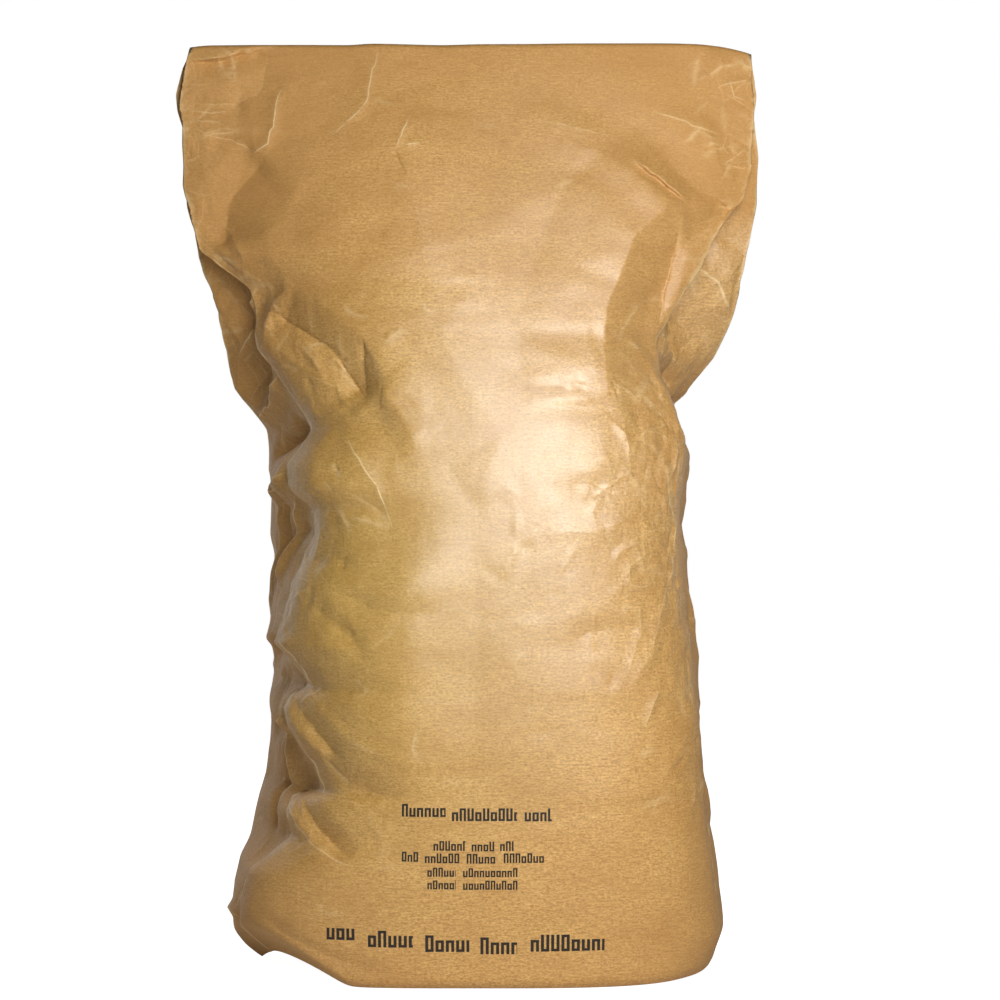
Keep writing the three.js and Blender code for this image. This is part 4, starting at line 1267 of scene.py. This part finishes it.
def word_group():
    """One word's Ink, from Left to Right and from Low up: strokes the size of letters, which
    spell nothing."""
    edges = ("Left", "Right", "Low", "Tall")
    inputs = {"Paper": "NodeSocketVector"} | dict.fromkeys(edges, "NodeSocketFloat")
    group, start, end = new_group("ink_word", inputs, {"Ink": "NodeSocketFloat"})
    apart = node(group, "ShaderNodeSeparateXYZ")
    group.links.new(start.outputs["Paper"], apart.inputs["Vector"])
    u, v = apart.outputs["X"], apart.outputs["Y"]
    left, right, low, tall = (start.outputs[name] for name in edges)

    def both(a, b):
        return math_node(group, "MULTIPLY", a, b)

    pitch = math_node(group, "MULTIPLY", tall, LETTER_PITCH)
    letter = math_node(group, "DIVIDE", math_node(group, "SUBTRACT", u, left), pitch)
    place = math_node(group, "FRACT", letter)
    rising = math_node(group, "DIVIDE", math_node(group, "SUBTRACT", v, low), tall)
    number = node(group, "ShaderNodeCombineXYZ")
    group.links.new(math_node(group, "FLOOR", letter), number.inputs["X"])
    group.links.new(low, number.inputs["Y"])
    chance = node(group, "ShaderNodeTexWhiteNoise", noise_dimensions="3D")
    group.links.new(number.outputs["Vector"], chance.inputs["Vector"])
    kinds = node(group, "ShaderNodeSeparateColor")
    group.links.new(chance.outputs["Color"], kinds.inputs["Color"])
    is_low = math_node(group, "GREATER_THAN", kinds.outputs["Red"], 1 - LOW_CHANCE)
    height = math_node(group, "SUBTRACT", 1.0, math_node(group, "MULTIPLY", is_low, 1 - LETTER_LOW))
    first = math_node(group, "LESS_THAN", place, LETTER_STEM)
    second = both(
        math_node(group, "GREATER_THAN", place, LETTER_WIDTH - LETTER_STEM),
        math_node(group, "LESS_THAN", place, LETTER_WIDTH),
    )
    has_foot = math_node(group, "GREATER_THAN", kinds.outputs["Green"], 1 - FOOT_CHANCE)
    foot = both(math_node(group, "LESS_THAN", rising, LETTER_BAR), has_foot)
    has_head = math_node(group, "LESS_THAN", kinds.outputs["Green"], HEAD_CHANCE)
    head_start = math_node(group, "SUBTRACT", height, LETTER_BAR)
    head = both(math_node(group, "GREATER_THAN", rising, head_start), has_head)
    in_letter = math_node(group, "LESS_THAN", place, LETTER_WIDTH)
    bars = both(math_node(group, "MAXIMUM", foot, head), in_letter)
    body = math_node(group, "MAXIMUM", math_node(group, "MAXIMUM", first, second), bars)
    across = both(
        math_node(group, "GREATER_THAN", u, left),
        math_node(group, "LESS_THAN", u, right),
    )
    upright = both(
        math_node(group, "GREATER_THAN", rising, 0.0),
        math_node(group, "LESS_THAN", rising, height),
    )
    group.links.new(both(both(across, upright), body), end.inputs["Ink"])
    return group


def placed_group(tree, group, paper):
    """A node group, fed with the place on the paper."""
    made = tree.nodes.new("ShaderNodeGroup")
    made.node_tree = group
    tree.links.new(paper, made.inputs["Paper"])
    return made


def print_ink(tree, paper):
    """The mask of the front's print: rows of words."""
    group = word_group()
    ink = None
    for middle, height, words in PRINT_ROWS:
        for left, right, rise in words:
            word = placed_group(tree, group, paper)
            low = middle - height / 2 + rise
            edges = {"Left": left, "Right": right, "Low": low, "Tall": height}
            for name, place in edges.items():
                word.inputs[name].default_value = place * MM
            mask = word.outputs["Ink"]
            ink = mask if ink is None else math_node(tree, "MAXIMUM", ink, mask)
    return ink


def tinted(tree, colour, factor, other):
    """A colour mixed towards another, which is in sRGB, by a factor socket."""
    mixed = node(tree, "ShaderNodeMix", data_type="RGBA")
    mixed.inputs["B"].default_value = linear(*other)
    tree.links.new(factor, mixed.inputs["Factor"])
    tree.links.new(colour, mixed.inputs["A"])
    return mixed.outputs["Result"]


def spread(tree, value, low, high, most):
    """A value socket's stretch from low to high as 0 to most."""
    made = node(tree, "ShaderNodeMapRange")
    made.inputs["From Min"].default_value = low
    made.inputs["From Max"].default_value = high
    made.inputs["To Max"].default_value = most
    tree.links.new(value, made.inputs["Value"])
    return made.outputs["Result"]


def paper_grain(tree, fibres):
    """The mix of fibres and streaks."""
    fine = math_node(tree, "MULTIPLY", fibres["Fibres"], FIBRE_SHARE)
    return math_node(tree, "MULTIPLY_ADD", fibres["Streaks"], 1 - FIBRE_SHARE, fine)


def kraft_colour(tree, fibres, grain, ridges, painted_shade, ink):
    """Brown fibres in light and dark, with painted shade, pale along the crests and creases
    (partly wear, partly a painted highlight), and printed.
    """
    ramp = node(tree, "ShaderNodeValToRGB")
    for stop, (position, colour) in zip(ramp.color_ramp.elements, FIBRE_COLOURS):
        stop.position = position
        stop.color = linear(*colour)
    tree.links.new(grain, ramp.inputs["Fac"])
    cloud = spread(tree, fibres["Clouds"], 0.35, 0.7, CLOUD_AMOUNT)
    # Painted shade: olive over the left of the belly.
    olive_shading = spread(tree, fibres["Olive_shade"], 0.1, 0.9, OLIVE_SHADE_AMOUNT)
    # Painted shade: browner and darker away from the lit middle.
    painted_shade_share = math_node(tree, "MULTIPLY", painted_shade, PAINTED_SHADE_AMOUNT)
    # Pale along crests and creases: partly wear, partly a painted highlight.
    wear_and_highlight = node(tree, "ShaderNodeAttribute", attribute_name="wear_and_highlight").outputs["Fac"]
    wear_and_highlight_share = math_node(tree, "MAXIMUM", wear_and_highlight, math_node(tree, "MULTIPLY", ridges, RIDGE_WEAR))
    patchy = spread(tree, fibres["Crackle"], 0.34, 0.5, 1.0)
    whitened = math_node(tree, "MULTIPLY", wear_and_highlight_share, patchy)
    colour = tinted(tree, ramp.outputs["Color"], cloud, CLOUDED)
    colour = tinted(tree, colour, olive_shading, OLIVE_SHADE)
    colour = tinted(tree, colour, painted_shade_share, PAINTED_SHADE_BROWN)
    colour = tinted(tree, colour, whitened, PALE_WEAR_AND_HIGHLIGHT)
    return tinted(tree, colour, ink, INK)


def kraft_roughness(tree, fibres, painted_shade, ink):
    """Smoother and rougher streaks, duller under the painted shade's mask and where printed."""
    rough = node(tree, "ShaderNodeMapRange")
    rough.inputs["To Min"].default_value, rough.inputs["To Max"].default_value = ROUGHNESS
    tree.links.new(fibres["Streaks"], rough.inputs["Value"])
    shade_dulling = math_node(tree, "MULTIPLY", painted_shade, PAINTED_SHADE_ROUGHNESS / INK_ROUGHNESS)
    dull = math_node(tree, "MAXIMUM", shade_dulling, ink)
    return math_node(tree, "MULTIPLY_ADD", dull, INK_ROUGHNESS, rough.outputs["Result"])


def kraft_relief(tree, layers):
    """The normal of the paper's relief. Each layer is a height socket and its height in metres."""
    normal = None
    for height, distance in layers:
        bump = node(tree, "ShaderNodeBump", Strength=1.0, Distance=distance)
        tree.links.new(height, bump.inputs["Height"])
        if normal is not None:
            tree.links.new(normal, bump.inputs["Normal"])
        normal = bump.outputs["Normal"]
    return normal


def kraft_material():
    material, tree, shader = new_material("kraft_paper")
    paper = node(tree, "ShaderNodeUVMap", uv_map="paper").outputs["UV"]
    fibres = placed_group(tree, fibre_group(), paper).outputs
    crumples = placed_group(tree, crumple_group(), paper).outputs
    crumpled = node(tree, "ShaderNodeAttribute", attribute_name="crumple").outputs["Fac"]
    ridges = math_node(tree, "MULTIPLY", crumples["Ridges"], crumpled)
    facets = math_node(tree, "MULTIPLY", crumples["Height"], crumpled)
    grain = paper_grain(tree, fibres)
    # Painted light: the painted shade is left off where the right gusset is lit, so the paper is paler
    # there.
    outside_lit_gusset = spread(tree, fibres["Lit_gusset"], 0.5, 0.0, 1.0)
    painted_shade = math_node(tree, "MULTIPLY", spread(tree, fibres["Lit_middle"], 0.55, 0.1, 1.0), outside_lit_gusset)
    ink = math_node(tree, "MULTIPLY", print_ink(tree, paper), INK_COVER)
    # Painted sheen: extra coat where the key light's highlight falls, and where the right gusset is lit.
    highlight_coat = spread(tree, fibres["Sheen_spot"], 0.0, 0.75, SHEEN_SPOT_COAT)
    sheen = math_node(tree, "MAXIMUM", highlight_coat, spread(tree, fibres["Lit_gusset"], 0.0, 0.5, LIT_GUSSET_COAT))
    relief = (
        (fibres["Crackle"], CRACKLE_HEIGHT),
        (facets, CRUMPLE_HEIGHT),
        (grain, FIBRE_HEIGHT),
    )
    looks = {
        "Base Color": kraft_colour(tree, fibres, grain, ridges, painted_shade, ink),
        "Roughness": kraft_roughness(tree, fibres, painted_shade, ink),
        "Normal": kraft_relief(tree, relief),
        "Coat Weight": sheen,
    }
    for name, socket in looks.items():
        tree.links.new(socket, shader.inputs[name])
    shader.inputs["IOR"].default_value = 1.6
    shader.inputs["Specular IOR Level"].default_value = 0.7
    shader.inputs["Coat Roughness"].default_value = 0.5
    shader.inputs["Coat IOR"].default_value = 2.1
    return material


# ---- Stage ---------------------------------------------------------------------------------------

CAMERA_PLACE = (0.028, -2.199, 0.401)
LENS = 91.35
SENSOR = 36.0
FLOOR_REACH = 12.0  # from the sack to the floor's edges

# The lights, each as its name, place, target, size in metres, and power in watts.
LAMPS = [
    ("key", (0.32, -1.15, 0.8), (0.03, -0.13, 0.4), (0.6, 0.8), 14.9),
    ("left_fill", (-1.6, -0.6, 0.6), (0, 0, 0.4), (1.0, 1.2), 1.5),
    ("right_fill", (1.6, -0.5, 0.6), (0, 0, 0.4), (1.0, 1.2), 0.8),
    ("left_rim", (-1.2, 1.5, 0.6), (0, 0, 0.4), (1.0, 1.6), 13.0),
    ("right_rim", (1.2, 1.5, 0.6), (0, 0, 0.4), (1.0, 1.6), 4.0),
]
ROOM_GLOW = 0.03  # what lights the sack from all round
BACKDROP_GLOW = 1.0  # how bright the camera sees it
FLOOR_GLOW = 0.98  # the floor is overexposed, as white paper is in a product photo


def build_camera():
    data = bpy.data.cameras.new("camera")
    data.sensor_width = SENSOR
    data.lens = LENS
    camera = bpy.data.objects.new("camera", data)
    camera.location = CAMERA_PLACE
    camera.rotation_euler = (math.pi / 2, 0, 0)
    bpy.context.scene.collection.objects.link(camera)
    bpy.context.scene.camera = camera


def seen_glow(tree, seen, otherwise):
    """A strength of light: one for what the camera sees, and another for what lights the sack."""
    ray = node(tree, "ShaderNodeLightPath")
    glow = node(tree, "ShaderNodeMapRange")
    glow.inputs["To Min"].default_value = otherwise
    glow.inputs["To Max"].default_value = seen
    tree.links.new(ray.outputs["Is Camera Ray"], glow.inputs["Value"])
    return glow.outputs["Result"]


def build_floor():
    corners = [(x * FLOOR_REACH, y * FLOOR_REACH, 0) for x, y in ((-1, -1), (1, -1), (1, 1), (-1, 1))]
    material, tree, shader = new_material("pale_floor")
    shader.inputs["Base Color"].default_value = (0.85, 0.85, 0.85, 1)
    shader.inputs["Roughness"].default_value = 0.8
    shader.inputs["Emission Color"].default_value = (1, 1, 1, 1)
    tree.links.new(seen_glow(tree, FLOOR_GLOW, 0), shader.inputs["Emission Strength"])
    make_object("floor", corners, [(0, 1, 2, 3)], material)


def build_lights():
    for name, place, target, size, power in LAMPS:
        data = bpy.data.lights.new(name, "AREA")
        data.shape = "RECTANGLE"
        data.size, data.size_y = size
        data.energy = power
        lamp = bpy.data.objects.new(name, data)
        lamp.location = place
        lamp.rotation_euler = (Vector(target) - Vector(place)).to_track_quat("-Z", "Y").to_euler()
        bpy.context.scene.collection.objects.link(lamp)
    world = bpy.data.worlds.new("studio")
    world.use_nodes = True
    tree = world.node_tree
    background = tree.nodes["Background"]
    background.inputs["Color"].default_value = (1, 1, 1, 1)
    tree.links.new(seen_glow(tree, BACKDROP_GLOW, ROOM_GLOW), background.inputs["Strength"])
    bpy.context.scene.world = world


bpy.context.scene.view_settings.view_transform = "Standard"
build_camera()
build_floor()
build_lights()

bend_folds()
kraft = kraft_material()
sack = build_sack(kraft)
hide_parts("sack")
for piece in (sack, build_folded_end(kraft)):
    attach(piece, "root")
